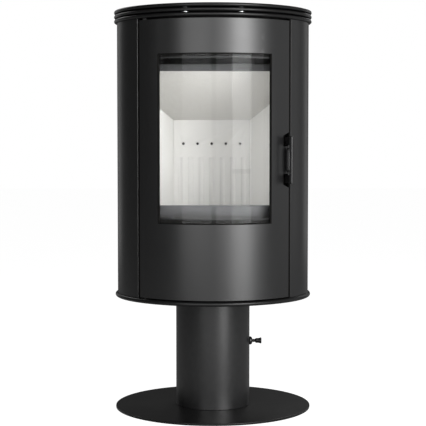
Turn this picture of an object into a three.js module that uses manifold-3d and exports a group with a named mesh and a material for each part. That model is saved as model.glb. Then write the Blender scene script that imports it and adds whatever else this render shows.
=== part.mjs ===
// A round wood burning stove on a pedestal: a floor disc and a tubular column carry a cylindrical
// body with a full-height curved glazed door on the left-hand hinge, a lined firebox with a sloping
// baffle, an ash pan under the grate, a pull rod for the combustion air and three stacked top plates.
//
// Frame: millimetres, +Z up, the door faces -Y, the origin is on the floor on the body's axis.
// Bearings on the body are in degrees from the front (-Y), positive towards +X.

import * as THREE from 'three';
import { mergeVertices } from 'three/addons/utils/BufferGeometryUtils.js';
import Module from 'manifold-3d';

const wasm = await Module();
wasm.setup();

// ---------------------------------------------------------------- driving dimensions (mm, degrees)

const CLEARANCE = 0.3;              // between pieces that meet
const RUNNING_CLEARANCE = 0.5;      // round a pin or a sliding rod

const BODY_RADIUS = 250;
const CASING_THICKNESS = 3;
const CASING_HEIGHT = 699;

const BASE_RADIUS = 256;
const BASE_THICKNESS = 6;
const BASE_CHAMFER = 1;

const COLUMN_RADIUS = 97;
const COLUMN_WALL = 3;
const COLUMN_HEIGHT = 289;
const FLANGE_BORE_RADIUS = 58;
const FLANGE_THICKNESS = 6;

const BOTTOM_PLATE_OVERHANG = 6.2;
const BOTTOM_PLATE_THICKNESS = 11;
const TOP_PLATE_OVERHANG = 7.3;
const TOP_PLATE_THICKNESS = 9;
const TOP_PLATE_GROOVE = 2.4;
const TOP_PLATE_COUNT = 3;
const SPACER_RADIUS = 9.5;
const SPACER_INSET = 1.5;           // from the plates' straight edge to the spacer
const SPACER_BEARINGS = [-17.5, 15.2, 180];

const DOOR_HALF_ANGLE = 48.5;
const DOOR_SIDE_GAP = 1.4;          // degrees between the door's edge and the casing
const DOOR_GAP_TOP = 5;
const DOOR_GAP_BOTTOM = 3;
const DOOR_SKIN = 4;
const DOOR_DEPTH = 16;
const DOOR_FLANGE = 2.5;
const CASING_RETURN_DEPTH = 10;

const WINDOW_HALF_ANGLE = 34.45;
const WINDOW_ABOVE_EDGE = 187;      // from the door's bottom edge to the window
const WINDOW_BELOW_EDGE = 84;       // from the window to the door's top edge
const GLASS_THICKNESS = 4;
const GLASS_LAP_ANGLE = 3.05;       // degrees of glass behind the door skin at each side
const GLASS_LAP = 13;               // the same at the top and bottom, mm
const GLASS_SEAL = 1.4;
const RETAINER_THICKNESS = 3;
const RETAINER_SHOW_TOP = 12;       // how far the strips reach into the window
const RETAINER_SHOW_BOTTOM = 14;
const RETAINER_SIDE_ANGLE = 35.5;
const RETAINER_LAP_ANGLE = 3.2;
const RETAINER_LAP = 6;

const SEAL_FRAME_INNER_ANGLE = 39.2;
const SEAL_FRAME_OUTER_ANGLE = 43.5;
const SEAL_FRAME_MARGIN = 11;       // from the door's flanges to the seal frame
const SEAL_FRAME_RAIL = 25;
const ROPE_WIDTH = 10;
const ROPE_DEPTH = 9.6;
const ROPE_GAP = 0.4;               // from the rope to the firebox front, door closed

const HINGE_EDGE_ANGLE = 2.6;       // degrees from the door's edge to the hinge axis
const HINGE_INSET = 10;             // from the body's surface to the hinge axis
const HINGE_PIN_RADIUS = 4;
const HINGE_PIN_REACH = 16;         // into the door, past its flange
const HINGE_COLLAR_RADIUS = 6.5;
const HINGE_BLOCK_WIDTH = 14;
const HINGE_BLOCK_DEPTH = 11;
const HINGE_BLOCK_HEIGHT = 12;

const HANDLE_PIVOT_EDGE_ANGLE = 2.5; // degrees from the door's edge
const HANDLE_PIVOT_STANDOFF = 7;    // from the door's face to the pivot
const HANDLE_BAR_EDGE_ANGLE = 4.7;
const HANDLE_BAR_STANDOFF = 26;
const HANDLE_BAR_RADIUS = 4.3;
const HANDLE_ABOVE_EDGE = 285;      // from the door's bottom edge to the grip bar
const HANDLE_BAR_LENGTH = 119;
const HANDLE_ARM_WIDTH = 7;
const HANDLE_ARM_HEIGHT = 20;
const HANDLE_NOSE = 17.8;           // from the pivot inwards
const HANDLE_BARREL_RADIUS = 6;
const HANDLE_BARREL_LENGTH = 61;
const HANDLE_BARREL_TAPER = 6;
const HANDLE_PIN_RADIUS = 2.2;
const NOTCH_ANGLE = 5.3;            // degrees of door edge cut away for each arm
const NOTCH_MARGIN = 3;             // above and below an arm
const NOTCH_SLOPE = 9;              // how much higher the cut is at the door's edge

const LINING_HALF_WIDTH = 155;
const LINING_BACK_HALF_WIDTH = 103.5;
const LINING_CORNER_Y = 45;
const LINING_BACK_Y = 130;
const LINING_THICKNESS = 25;
const FIREBOX_WALL = 4;
const FIREBOX_FLOOR_DROP = 20;      // from the window's bottom edge
const FLOOR_LINING_THICKNESS = 18;
const FIREBOX_ROOF_DROP = 25;       // from the top of the casing
const FRONT_THICKNESS = 4;
const SHELL_GAP = 0.5;              // between the lining and the shell round it
const FRONT_OPENING_ANGLE = 39.5;
const FRONT_OPENING_BELOW = 12;     // below and above the window
const FRONT_OPENING_ABOVE = 14;

const FLUTE_COUNT = 7;
const FLUTE_PITCH = 28.8;
const FLUTE_RADIUS = 11;
const FLUTE_DEPTH = 2.6;
const FLUTE_HEIGHT = 158;           // above the floor lining
const AIR_HOLE_COUNT = 5;
const AIR_HOLE_PITCH = 38.7;
const AIR_HOLE_RADIUS = 4;
const AIR_HOLE_HEIGHT = 195;        // above the floor lining
const DUCT_MARGIN = 35;             // from the outer air holes to the duct's sides
const DUCT_DEPTH = 26;
const DUCT_DROP = 56;               // below the firebox floor
const DUCT_RISE = 29;               // above the air holes
const DUCT_WALL = 2;

const BAFFLE_DROP = 158;            // from the window's top to the baffle's back edge
const BAFFLE_SLOPE = 0.5;
const BAFFLE_THICKNESS = 15;
const BAFFLE_SETBACK = 114;         // from the foremost line of the firebox front
const UPPER_BAFFLE_RISE = 16;       // above the window
const UPPER_BAFFLE_THICKNESS = 10;
const UPPER_BAFFLE_SETBACK = 64;
const UPPER_BAFFLE_BACK_Y = 70;

const GUARD_SETBACK = 59;
const GUARD_THICKNESS = 5;
const GUARD_HALF_WIDTH = 140.5;
const GUARD_RISE = 17;              // from the window's bottom edge to the guard
const GUARD_HEIGHT = 27;
const GUARD_FOOT_X = 108;
const GUARD_FOOT_WIDTH = 18;

const GRATE_SIZE = 185;
const GRATE_THICKNESS = 13;
const GRATE_SEAT = 12;
const GRATE_SLOT_COUNT = 9;
const GRATE_SLOT_WIDTH = 8;

const ASH_BOX_HALF_WIDTH = 101;
const ASH_BOX_DROP = 78;            // from the firebox floor
const ASH_BOX_MOUTH = 76;
const ASH_BOX_BACK_Y = 70;
const ASH_BOX_WALL = 3;
const LEG_OFFSET = 32;              // from the ash box to each leg under the firebox
const LEG_HALF_WIDTH = 12;
const LEG_HALF_LENGTH = 100;
const LEG_THICKNESS = 4;
const ASH_PAN_WALL = 2;
const ASH_PAN_PLAY = 3;             // between the pan and its box at each side
const ASH_PAN_SETBACK = 74;
const ASH_PAN_HEIGHT = 60;
const ASH_PAN_LENGTH = 205;
const PAN_HANDLE_HALF_WIDTH = 32;
const PAN_HANDLE_REACH = 20;
const PAN_HANDLE_SECTION = 6;

const FLUE_RADIUS = 75;
const FLUE_WALL = 3;
const FLUE_RISE = 12;               // above the top plate
const FLUE_FLANGE_WIDTH = 15;
const FLUE_GAP = 4;
const AIR_PIPE_RADIUS = 53;
const AIR_PIPE_WALL = 3;

const INLET_RADIUS = 50;
const INLET_WALL = 2.5;
const INLET_LENGTH = 34;
const INLET_INSIDE = 14;            // how far the spigot reaches into the column
const INLET_Z = 88;

const VALVE_PLATE_Z = 160;
const VALVE_PLATE_THICKNESS = 3;
const VALVE_PORT_RADIUS = 30;
const VALVE_PORT_X = -20;
const DAMPER_MARGIN = 6;
const DAMPER_TAB_HEIGHT = 12;
const AIR_ROD_ABOVE_VALVE = 13;
const AIR_ROD_RADIUS = 3.5;
const AIR_ROD_PROUD = 13;           // from the column to the knob
const AIR_KNOB_LENGTH = 18.3;
const AIR_KNOB_RADIUS = 8.4;
const ROSETTE_RADIUS = 10.8;
const ROSETTE_LENGTH = 7.4;

const REAR_COVER_HALF_ANGLE = 52;   // degrees each side of the rear, where the side panels stop
const REAR_SLOT_COUNT = 5;
const REAR_SLOT_HEIGHT = 6;
const REAR_SLOT_PITCH = 18;
const REAR_SLOT_HALF_ANGLE = 17;
const REAR_SLOT_RISE = 40;
const REAR_OUTLET_DROP = 155;       // from the top of the casing
const REAR_OUTLET_RADIUS = 78;
const BLANKING_RADIUS = 88;
const BLANKING_THICKNESS = 3;

// ---------------------------------------------------------------- fineness of the curved faces

const BODY_STEP = 4;                // degrees per facet on the body's curves
const DISC_SEGMENTS = 60;
const TUBE_SEGMENTS = 40;
const HOLE_SEGMENTS = 16;
const PIN_SEGMENTS = 14;
const EDGE_STEPS = 4;

// ---------------------------------------------------------------- heights that follow

const COLUMN_LOW = BASE_THICKNESS + CLEARANCE;
const BOTTOM_PLATE_LOW = BASE_THICKNESS + COLUMN_HEIGHT;
const BOTTOM_PLATE_TOP = BOTTOM_PLATE_LOW + BOTTOM_PLATE_THICKNESS;
const CASING_TOP = BOTTOM_PLATE_TOP + CASING_HEIGHT;
const PLATE_PITCH = TOP_PLATE_THICKNESS + TOP_PLATE_GROOVE;
const STOVE_TOP = CASING_TOP + PLATE_PITCH * TOP_PLATE_COUNT - TOP_PLATE_GROOVE;
const CASING_LOW_EDGE = BOTTOM_PLATE_TOP + CLEARANCE;
const CASING_HIGH_EDGE = CASING_TOP - CLEARANCE;
const DOOR_LOW = BOTTOM_PLATE_TOP + DOOR_GAP_BOTTOM;
const DOOR_HIGH = CASING_TOP - DOOR_GAP_TOP;
const CASING_EDGE_ANGLE = DOOR_HALF_ANGLE + DOOR_SIDE_GAP;
const WINDOW_BOTTOM = DOOR_LOW + WINDOW_ABOVE_EDGE;
const WINDOW_TOP = DOOR_HIGH - WINDOW_BELOW_EDGE;
const HANDLE_BAR_LOW = DOOR_LOW + HANDLE_ABOVE_EDGE;
const FIREBOX_FLOOR_Z = WINDOW_BOTTOM - FIREBOX_FLOOR_DROP;
const FIREBOX_ROOF_Z = CASING_TOP - FIREBOX_ROOF_DROP;
const LINING_LOW = FIREBOX_FLOOR_Z + FIREBOX_WALL + FLOOR_LINING_THICKNESS;
const AIR_HOLE_Z = LINING_LOW + AIR_HOLE_HEIGHT;
const BAFFLE_BACK_Z = WINDOW_TOP - BAFFLE_DROP;
const ASH_BOX_LOW = FIREBOX_FLOOR_Z - ASH_BOX_DROP;
const AIR_ROD_Z = VALVE_PLATE_Z + AIR_ROD_ABOVE_VALVE;
const REAR_OUTLET_Z = CASING_TOP - REAR_OUTLET_DROP;

// ---------------------------------------------------------------- radii and depths that follow

const DOOR_INNER_RADIUS = BODY_RADIUS - DOOR_DEPTH;
const FRONT_RADIUS = DOOR_INNER_RADIUS - ROPE_DEPTH - ROPE_GAP;
const FRONT_INNER_RADIUS = FRONT_RADIUS - FRONT_THICKNESS - CLEARANCE;
const SHELL_INSIDE = LINING_THICKNESS + SHELL_GAP;
const SHELL_OUTSIDE = SHELL_INSIDE + FIREBOX_WALL;
const FRONT_HALF_ANGLE = THREE.MathUtils.radToDeg(
  Math.asin((LINING_HALF_WIDTH + SHELL_OUTSIDE) / FRONT_INNER_RADIUS));
const BAFFLE_FRONT_Y = BAFFLE_SETBACK - FRONT_RADIUS;
const UPPER_BAFFLE_FRONT_Y = UPPER_BAFFLE_SETBACK - FRONT_RADIUS;
const GUARD_FRONT_Y = GUARD_SETBACK - FRONT_RADIUS;
const ASH_PAN_FRONT_Y = ASH_PAN_SETBACK - FRONT_RADIUS;
const AIR_ROD_OUT = COLUMN_RADIUS + AIR_ROD_PROUD;

// ---------------------------------------------------------------- finishes

/** A plain finish: colour, roughness and metalness. */
function finish(color, roughness, metalness, extra = {}) {
  return () => new THREE.MeshStandardMaterial({ color, roughness, metalness, ...extra });
}

const stoveBlack = finish(0x2d2e30, 0.5, 0.35);
const plateBlack = finish(0x1b1c1d, 0.55, 0.3);
const innerSteel = finish(0x3a3a3a, 0.7, 0.5);
const firebrick = finish(0xd8d3c6, 0.95, 0);
const baffleBoard = finish(0xc4b294, 0.95, 0);
const guardSteel = finish(0x6f7072, 0.6, 0.6);
const castGrate = finish(0x2a2927, 0.8, 0.5);
const zinc = finish(0xb9bcbf, 0.35, 0.9);
const sealRope = finish(0x3b3b3a, 1, 0);
const handleBlack = finish(0x121213, 0.4, 0.4);
const stoveGlass = finish(0xcfd6d8, 0.05, 0, { transparent: true, opacity: 0.25 });

// ---------------------------------------------------------------- shape helpers

const radians = THREE.MathUtils.degToRad;

/** The plan point at a bearing (degrees from the front) and a radius. */
function at(bearing, radius) {
  const a = radians(bearing);
  return new THREE.Vector2(radius * Math.sin(a), -radius * Math.cos(a));
}

/** Closed geometry to a manifold solid. */
function solidOf(geometry) {
  const bare = geometry.clone();
  bare.deleteAttribute('normal');
  bare.deleteAttribute('uv');
  const merged = mergeVertices(bare, 1e-4);
  const corners = merged.index.array;
  const kept = [];
  for (let i = 0; i < corners.length; i += 3) {
    const [a, b, c] = [corners[i], corners[i + 1], corners[i + 2]];
    if (a !== b && b !== c && c !== a) kept.push(a, b, c);
  }
  return new wasm.Manifold(new wasm.Mesh({
    numProp: 3,
    vertProperties: new Float32Array(merged.attributes.position.array),
    triVerts: new Uint32Array(kept),
  }));
}

/** A manifold solid back to geometry. */
function geometryOf(solid) {
  const mesh = solid.getMesh();
  const geometry = new THREE.BufferGeometry();
  geometry.setAttribute('position', new THREE.BufferAttribute(mesh.vertProperties, 3));
  geometry.setIndex(new THREE.BufferAttribute(mesh.triVerts, 1));
  geometry.computeVertexNormals();
  return geometry;
}

/** The union of some solids. */
function joined(...solids) {
  return solids.reduce((sum, next) => sum.add(next));
}

/** One solid less all the others. */
function cut(body, ...tools) {
  return tools.reduce((rest, tool) => rest.subtract(tool), body);
}

/** A plan outline drawn up from low to high. */
function prism(outline, low, high) {
  const shape = outline instanceof THREE.Shape ? outline : new THREE.Shape(outline);
  const options = { depth: high - low, bevelEnabled: false, curveSegments: HOLE_SEGMENTS };
  const geometry = new THREE.ExtrudeGeometry(shape, options);
  geometry.translate(0, 0, low);
  return solidOf(geometry);
}

/** A box between two corners. */
function block(x0, x1, y0, y1, z0, z1) {
  const geometry = new THREE.BoxGeometry(x1 - x0, y1 - y0, z1 - z0);
  geometry.translate((x0 + x1) / 2, (y0 + y1) / 2, (z0 + z1) / 2);
  return solidOf(geometry);
}

/** A piece of a vertical tube between two bearings. */
function sector(inner, outer, from, to, low, high) {
  const steps = Math.max(1, Math.ceil((to - from) / BODY_STEP));
  const bearings = Array.from({ length: steps + 1 }, (_, i) => from + ((to - from) * i) / steps);
  const outside = bearings.map((b) => at(b, outer));
  const inside = bearings.map((b) => at(b, inner)).reverse();
  return prism([...outside, ...inside], low, high);
}

/** A curved rectangular frame: a sector with a window. */
function sectorFrame(inner, outer, halfOuter, halfInner, low, high, lowInner, highInner) {
  const blank = sector(inner, outer, -halfOuter, halfOuter, low, high);
  return cut(blank, sector(inner - 5, outer + 5, -halfInner, halfInner, lowInner, highInner));
}

/** A profile of [radius, height] points, closed on itself, turned round the vertical axis. */
function turned(profile, segments = DISC_SEGMENTS) {
  const points = [...profile, profile[0]].map(([r, z]) => new THREE.Vector2(r, z));
  const geometry = new THREE.LatheGeometry(points, segments);
  geometry.rotateX(Math.PI / 2);
  return solidOf(geometry);
}

/** A flat ring. */
function ring(inner, outer, low, high, segments = DISC_SEGMENTS) {
  return turned([[inner, low], [outer, low], [outer, high], [inner, high]], segments);
}

/** A ring whose outer edge is fully rounded. */
function bullnosed(inner, outer, low, high) {
  const half = (high - low) / 2;
  const edge = Array.from({ length: EDGE_STEPS + 1 }, (_, i) => {
    const a = -Math.PI / 2 + (Math.PI * i) / EDGE_STEPS;
    return [outer - half + half * Math.cos(a), low + half + half * Math.sin(a)];
  });
  return turned([[inner, low], ...edge, [inner, high]]);
}

/** An upright cylinder at a plan point. */
function post(center, radius, low, high, segments = HOLE_SEGMENTS) {
  const geometry = new THREE.CylinderGeometry(radius, radius, high - low, segments);
  geometry.rotateX(Math.PI / 2);
  geometry.translate(center.x, center.y, (low + high) / 2);
  return solidOf(geometry);
}

/** A cylinder along Y, from one y to another. */
function drill(x, z, radius, y0, y1, segments = HOLE_SEGMENTS) {
  const geometry = new THREE.CylinderGeometry(radius, radius, y1 - y0, segments);
  geometry.translate(x, (y0 + y1) / 2, z);
  return solidOf(geometry);
}

/** A turned profile of [radius, x] points laid along +X at the air rod's height. */
function turnedAlongX(profile) {
  const points = profile.map(([r, x]) => new THREE.Vector2(r, x));
  const geometry = new THREE.LatheGeometry(points, HOLE_SEGMENTS);
  geometry.rotateZ(-Math.PI / 2);
  geometry.translate(0, 0, AIR_ROD_Z);
  return solidOf(geometry);
}

/** A solid moved by an offset. */
function moved(solid, x, y, z) {
  return solid.translate([x, y, z]);
}

/** A named mesh added to a group. */
function add(group, name, solid, makeMaterial) {
  const mesh = new THREE.Mesh(geometryOf(solid), makeMaterial());
  mesh.name = name;
  group.add(mesh);
  return mesh;
}

// ---------------------------------------------------------------- pedestal

function pedestal() {
  const group = new THREE.Group();
  const innerRadius = COLUMN_RADIUS - COLUMN_WALL;
  const flangeRadius = innerRadius - CLEARANCE;

  add(group, 'base_plate', turned([
    [0, 0],
    [BASE_RADIUS - BASE_CHAMFER, 0],
    [BASE_RADIUS, BASE_CHAMFER],
    [BASE_RADIUS, BASE_THICKNESS - BASE_CHAMFER],
    [BASE_RADIUS - BASE_CHAMFER, BASE_THICKNESS],
    [0, BASE_THICKNESS],
  ]), plateBlack);

  const rodHole = new THREE.CylinderGeometry(
    AIR_ROD_RADIUS + RUNNING_CLEARANCE, AIR_ROD_RADIUS + RUNNING_CLEARANCE, COLUMN_WALL * 4, HOLE_SEGMENTS);
  rodHole.rotateZ(Math.PI / 2);
  rodHole.translate(COLUMN_RADIUS, 0, AIR_ROD_Z);
  const inletHole = drill(0, INLET_Z, INLET_RADIUS + CLEARANCE, 0, COLUMN_RADIUS * 2, TUBE_SEGMENTS);
  const tube = ring(innerRadius, COLUMN_RADIUS, COLUMN_LOW, BOTTOM_PLATE_LOW - CLEARANCE);
  add(group, 'column_tube', cut(tube, solidOf(rodHole), inletHole), stoveBlack);

  const flange = (low) => ring(
    FLANGE_BORE_RADIUS, flangeRadius, low, low + FLANGE_THICKNESS, TUBE_SEGMENTS);
  add(group, 'column_foot_flange', flange(COLUMN_LOW), innerSteel);
  const headLow = BOTTOM_PLATE_LOW - CLEARANCE - FLANGE_THICKNESS;
  add(group, 'column_head_flange', flange(headLow), innerSteel);

  const spigot = drill(0, INLET_Z, INLET_RADIUS, innerRadius - INLET_INSIDE,
    COLUMN_RADIUS + INLET_LENGTH, TUBE_SEGMENTS);
  const bore = drill(0, INLET_Z, INLET_RADIUS - INLET_WALL, 0, COLUMN_RADIUS * 2, TUBE_SEGMENTS);
  add(group, 'air_inlet_spigot', cut(spigot, bore), stoveBlack);
  return group;
}

// ---------------------------------------------------------------- air control in the column

function airValve() {
  const group = new THREE.Group();
  const plateRadius = COLUMN_RADIUS - COLUMN_WALL - CLEARANCE;
  const port = new THREE.Vector2(VALVE_PORT_X, 0);
  const plateTop = VALVE_PLATE_Z + VALVE_PLATE_THICKNESS;
  const disc = post(new THREE.Vector2(0, 0), plateRadius, VALVE_PLATE_Z, plateTop, TUBE_SEGMENTS);
  const hole = post(port, VALVE_PORT_RADIUS, VALVE_PLATE_Z - 1, plateTop + 1, HOLE_SEGMENTS);
  add(group, 'air_valve_plate', cut(disc, hole), innerSteel);

  const bore = AIR_ROD_RADIUS + RUNNING_CLEARANCE;
  const back = COLUMN_RADIUS + CLEARANCE;
  add(group, 'rod_rosette', turnedAlongX([
    [bore, back],
    [ROSETTE_RADIUS, back],
    [ROSETTE_RADIUS, back + ROSETTE_LENGTH * 0.2],
    [ROSETTE_RADIUS * 0.75, back + ROSETTE_LENGTH * 0.7],
    [ROSETTE_RADIUS * 0.5, back + ROSETTE_LENGTH],
    [bore, back + ROSETTE_LENGTH],
    [bore, back],
  ]), stoveBlack);
  return group;
}

function airControl() {
  const group = new THREE.Group();
  const low = VALVE_PLATE_Z + VALVE_PLATE_THICKNESS + CLEARANCE;
  const high = low + VALVE_PLATE_THICKNESS;
  const reach = VALVE_PORT_RADIUS + DAMPER_MARGIN;
  const tabX = VALVE_PORT_X + reach;
  const plate = block(VALVE_PORT_X - reach, tabX, -reach, reach, low, high);
  const tab = block(tabX - VALVE_PLATE_THICKNESS, tabX, -8, 8, low, high + DAMPER_TAB_HEIGHT);
  add(group, 'damper_plate', joined(plate, tab), innerSteel);

  const rodIn = tabX + CLEARANCE;
  const collar = AIR_ROD_RADIUS * 1.2;
  add(group, 'air_rod', turnedAlongX([
    [0, rodIn],
    [AIR_ROD_RADIUS, rodIn],
    [AIR_ROD_RADIUS, AIR_ROD_OUT - 5],
    [collar, AIR_ROD_OUT - 4],
    [collar, AIR_ROD_OUT - 1],
    [AIR_ROD_RADIUS, AIR_ROD_OUT],
    [0, AIR_ROD_OUT],
  ]), handleBlack);

  const knobIn = AIR_ROD_OUT + CLEARANCE;
  const along = (share) => knobIn + AIR_KNOB_LENGTH * share;
  add(group, 'air_knob', turnedAlongX([
    [0, knobIn],
    [AIR_KNOB_RADIUS * 0.48, knobIn],
    [AIR_KNOB_RADIUS * 0.76, along(0.22)],
    [AIR_KNOB_RADIUS * 0.8, along(0.4)],
    [AIR_KNOB_RADIUS * 0.78, along(0.52)],
    [AIR_KNOB_RADIUS * 0.97, along(0.92)],
    [AIR_KNOB_RADIUS * 0.9, along(1)],
    [0, along(1)],
  ]), handleBlack);
  return group;
}

// ---------------------------------------------------------------- casing and top

/** A side panel: a curved sheet with its front edge folded inwards. */
function sidePanel(side) {
  const skin = [BODY_RADIUS - CASING_THICKNESS, BODY_RADIUS];
  const fold = [BODY_RADIUS - CASING_RETURN_DEPTH, BODY_RADIUS];
  const foldAngle = 0.7;
  const front = CASING_EDGE_ANGLE;
  const rear = 180 - REAR_COVER_HALF_ANGLE - 0.1;
  const span = (a, b) => (side > 0 ? [a, b] : [-b, -a]);
  return joined(
    sector(...skin, ...span(front, rear), CASING_LOW_EDGE, CASING_HIGH_EDGE),
    sector(...fold, ...span(front, front + foldAngle), CASING_LOW_EDGE, CASING_HIGH_EDGE),
  );
}

/** A block of level slots through the rear cover, starting at a height. */
function rearSlots(low) {
  return Array.from({ length: REAR_SLOT_COUNT }, (_, i) => {
    const z = low + i * REAR_SLOT_PITCH;
    return sector(BODY_RADIUS - 20, BODY_RADIUS + 20,
      180 - REAR_SLOT_HALF_ANGLE, 180 + REAR_SLOT_HALF_ANGLE, z, z + REAR_SLOT_HEIGHT);
  });
}

function casing() {
  const group = new THREE.Group();
  add(group, 'casing_left', sidePanel(-1), stoveBlack);
  add(group, 'casing_right', sidePanel(1), stoveBlack);

  const rear = sector(BODY_RADIUS - CASING_THICKNESS, BODY_RADIUS,
    180 - REAR_COVER_HALF_ANGLE, 180 + REAR_COVER_HALF_ANGLE, CASING_LOW_EDGE, CASING_HIGH_EDGE);
  const outlet = drill(0, REAR_OUTLET_Z, REAR_OUTLET_RADIUS, 0, BODY_RADIUS * 2, TUBE_SEGMENTS);
  const slotRun = REAR_SLOT_PITCH * REAR_SLOT_COUNT;
  const lowSlots = rearSlots(CASING_LOW_EDGE + REAR_SLOT_RISE);
  const midSlots = rearSlots(CASING_LOW_EDGE + REAR_SLOT_RISE + slotRun * 1.8);
  add(group, 'casing_rear', cut(rear, outlet, ...lowSlots, ...midSlots), stoveBlack);

  const blankingIn = BODY_RADIUS + CLEARANCE;
  const blanking = drill(0, REAR_OUTLET_Z, BLANKING_RADIUS, 0, BODY_RADIUS * 2, TUBE_SEGMENTS)
    .intersect(sector(blankingIn, blankingIn + BLANKING_THICKNESS, 150, 210,
      CASING_LOW_EDGE, CASING_HIGH_EDGE));
  add(group, 'flue_blanking_plate', blanking, plateBlack);

  add(group, 'bottom_plate', bullnosed(FLANGE_BORE_RADIUS, BODY_RADIUS + BOTTOM_PLATE_OVERHANG,
    BOTTOM_PLATE_LOW, BOTTOM_PLATE_TOP), plateBlack);
  return group;
}

function topPlates() {
  const group = new THREE.Group();
  const radius = BODY_RADIUS + TOP_PLATE_OVERHANG;
  const bore = FLUE_RADIUS + FLUE_GAP;
  const spacerCircle = radius - TOP_PLATE_THICKNESS / 2 - SPACER_INSET - SPACER_RADIUS;
  const spacers = (extra, low, high) => SPACER_BEARINGS.map(
    (bearing) => post(at(bearing, spacerCircle), SPACER_RADIUS + extra, low, high));
  const plate = (level) => {
    const low = CASING_TOP + level * PLATE_PITCH;
    return bullnosed(bore, radius, low, low + TOP_PLATE_THICKNESS);
  };
  // Round spacers stand on the lower plate, pass through the middle one and carry the upper one.
  add(group, 'top_plate_lower', plate(0), plateBlack);
  add(group, 'top_plate_middle', cut(plate(1), ...spacers(CLEARANCE, 0, STOVE_TOP)), plateBlack);
  add(group, 'top_plate_upper', plate(2), plateBlack);
  const low = CASING_TOP + TOP_PLATE_THICKNESS + CLEARANCE;
  const high = CASING_TOP + 2 * PLATE_PITCH - CLEARANCE;
  spacers(0, low, high).forEach((post, i) => add(group, `top_spacer_${i + 1}`, post, zinc));
  return group;
}

// ---------------------------------------------------------------- firebox

/** The right-hand corners of the firebox plan, a distance outside the lining's face. */
function planCorners(distance) {
  const normal = new THREE.Vector2(
    LINING_BACK_Y - LINING_CORNER_Y, LINING_HALF_WIDTH - LINING_BACK_HALF_WIDTH);
  normal.normalize();
  const line = normal.x * LINING_HALF_WIDTH + normal.y * LINING_CORNER_Y + distance;
  const side = LINING_HALF_WIDTH + distance;
  const back = LINING_BACK_Y + distance;
  return {
    side,
    back,
    sideCorner: new THREE.Vector2(side, (line - normal.x * side) / normal.y),
    backCorner: new THREE.Vector2((line - normal.y * back) / normal.x, back),
  };
}

/** A plan point on the other side of the stove. */
function mirrored(point) {
  return new THREE.Vector2(-point.x, point.y);
}

/** The firebox plan as a closed outline, cut off straight at a front y. */
function planOutline(distance, frontY) {
  const { side, sideCorner, backCorner } = planCorners(distance);
  return [
    new THREE.Vector2(side, frontY), sideCorner, backCorner,
    mirrored(backCorner), mirrored(sideCorner), new THREE.Vector2(-side, frontY),
  ];
}

/** Keeps only what lies behind the curved front plate. */
function behindFront(solid) {
  const keep = post(new THREE.Vector2(0, 0), FRONT_INNER_RADIUS, 0, STOVE_TOP, DISC_SEGMENTS * 2);
  return solid.intersect(keep);
}

/** A plate with the firebox's plan. */
function planPlate(distance, low, high) {
  return behindFront(prism(planOutline(distance, -BODY_RADIUS), low, high));
}

/** Everything above the sloping underside of the baffle, less a gap. */
function aboveBaffle(gap, thickness) {
  const half = BODY_RADIUS;
  const under = (y) => BAFFLE_BACK_Z + BAFFLE_SLOPE * (LINING_BACK_Y - y) - gap;
  const shape = new THREE.Shape([
    new THREE.Vector2(-half, under(-half)),
    new THREE.Vector2(half, under(half)),
    new THREE.Vector2(half, under(half) + thickness),
    new THREE.Vector2(-half, under(-half) + thickness),
  ]);
  const geometry = new THREE.ExtrudeGeometry(shape, { depth: 2 * half, bevelEnabled: false });
  geometry.translate(0, 0, -half);
  geometry.rotateX(Math.PI / 2);
  geometry.rotateZ(Math.PI / 2);
  return solidOf(geometry);
}

/** A lining board between two faces' end points, a clearance short at both ends. */
function liningBoard(innerStart, innerEnd, outerEnd, outerStart) {
  const along = innerEnd.clone().sub(innerStart).normalize().multiplyScalar(CLEARANCE / 2);
  const outline = [
    innerStart.clone().add(along), innerEnd.clone().sub(along),
    outerEnd.clone().sub(along), outerStart.clone().add(along),
  ];
  if (THREE.ShapeUtils.area(outline) < 0) outline.reverse();
  return prism(outline, LINING_LOW + CLEARANCE, FIREBOX_ROOF_Z);
}

/** Air holes in line with the row in the back lining. */
function airHoles(radius) {
  return Array.from({ length: AIR_HOLE_COUNT }, (_, i) => {
    const x = (i - (AIR_HOLE_COUNT - 1) / 2) * AIR_HOLE_PITCH;
    return drill(x, AIR_HOLE_Z, radius, LINING_BACK_Y - 30, LINING_BACK_Y + 60, 12);
  });
}

/** Round-topped hollows down the face of the back lining. */
function flutes() {
  const centerY = LINING_BACK_Y - FLUTE_RADIUS + FLUTE_DEPTH;
  return Array.from({ length: FLUTE_COUNT }, (_, i) => {
    const x = (i - (FLUTE_COUNT - 1) / 2) * FLUTE_PITCH;
    return post(new THREE.Vector2(x, centerY), FLUTE_RADIUS, 0, LINING_LOW + FLUTE_HEIGHT, 24);
  });
}

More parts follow.
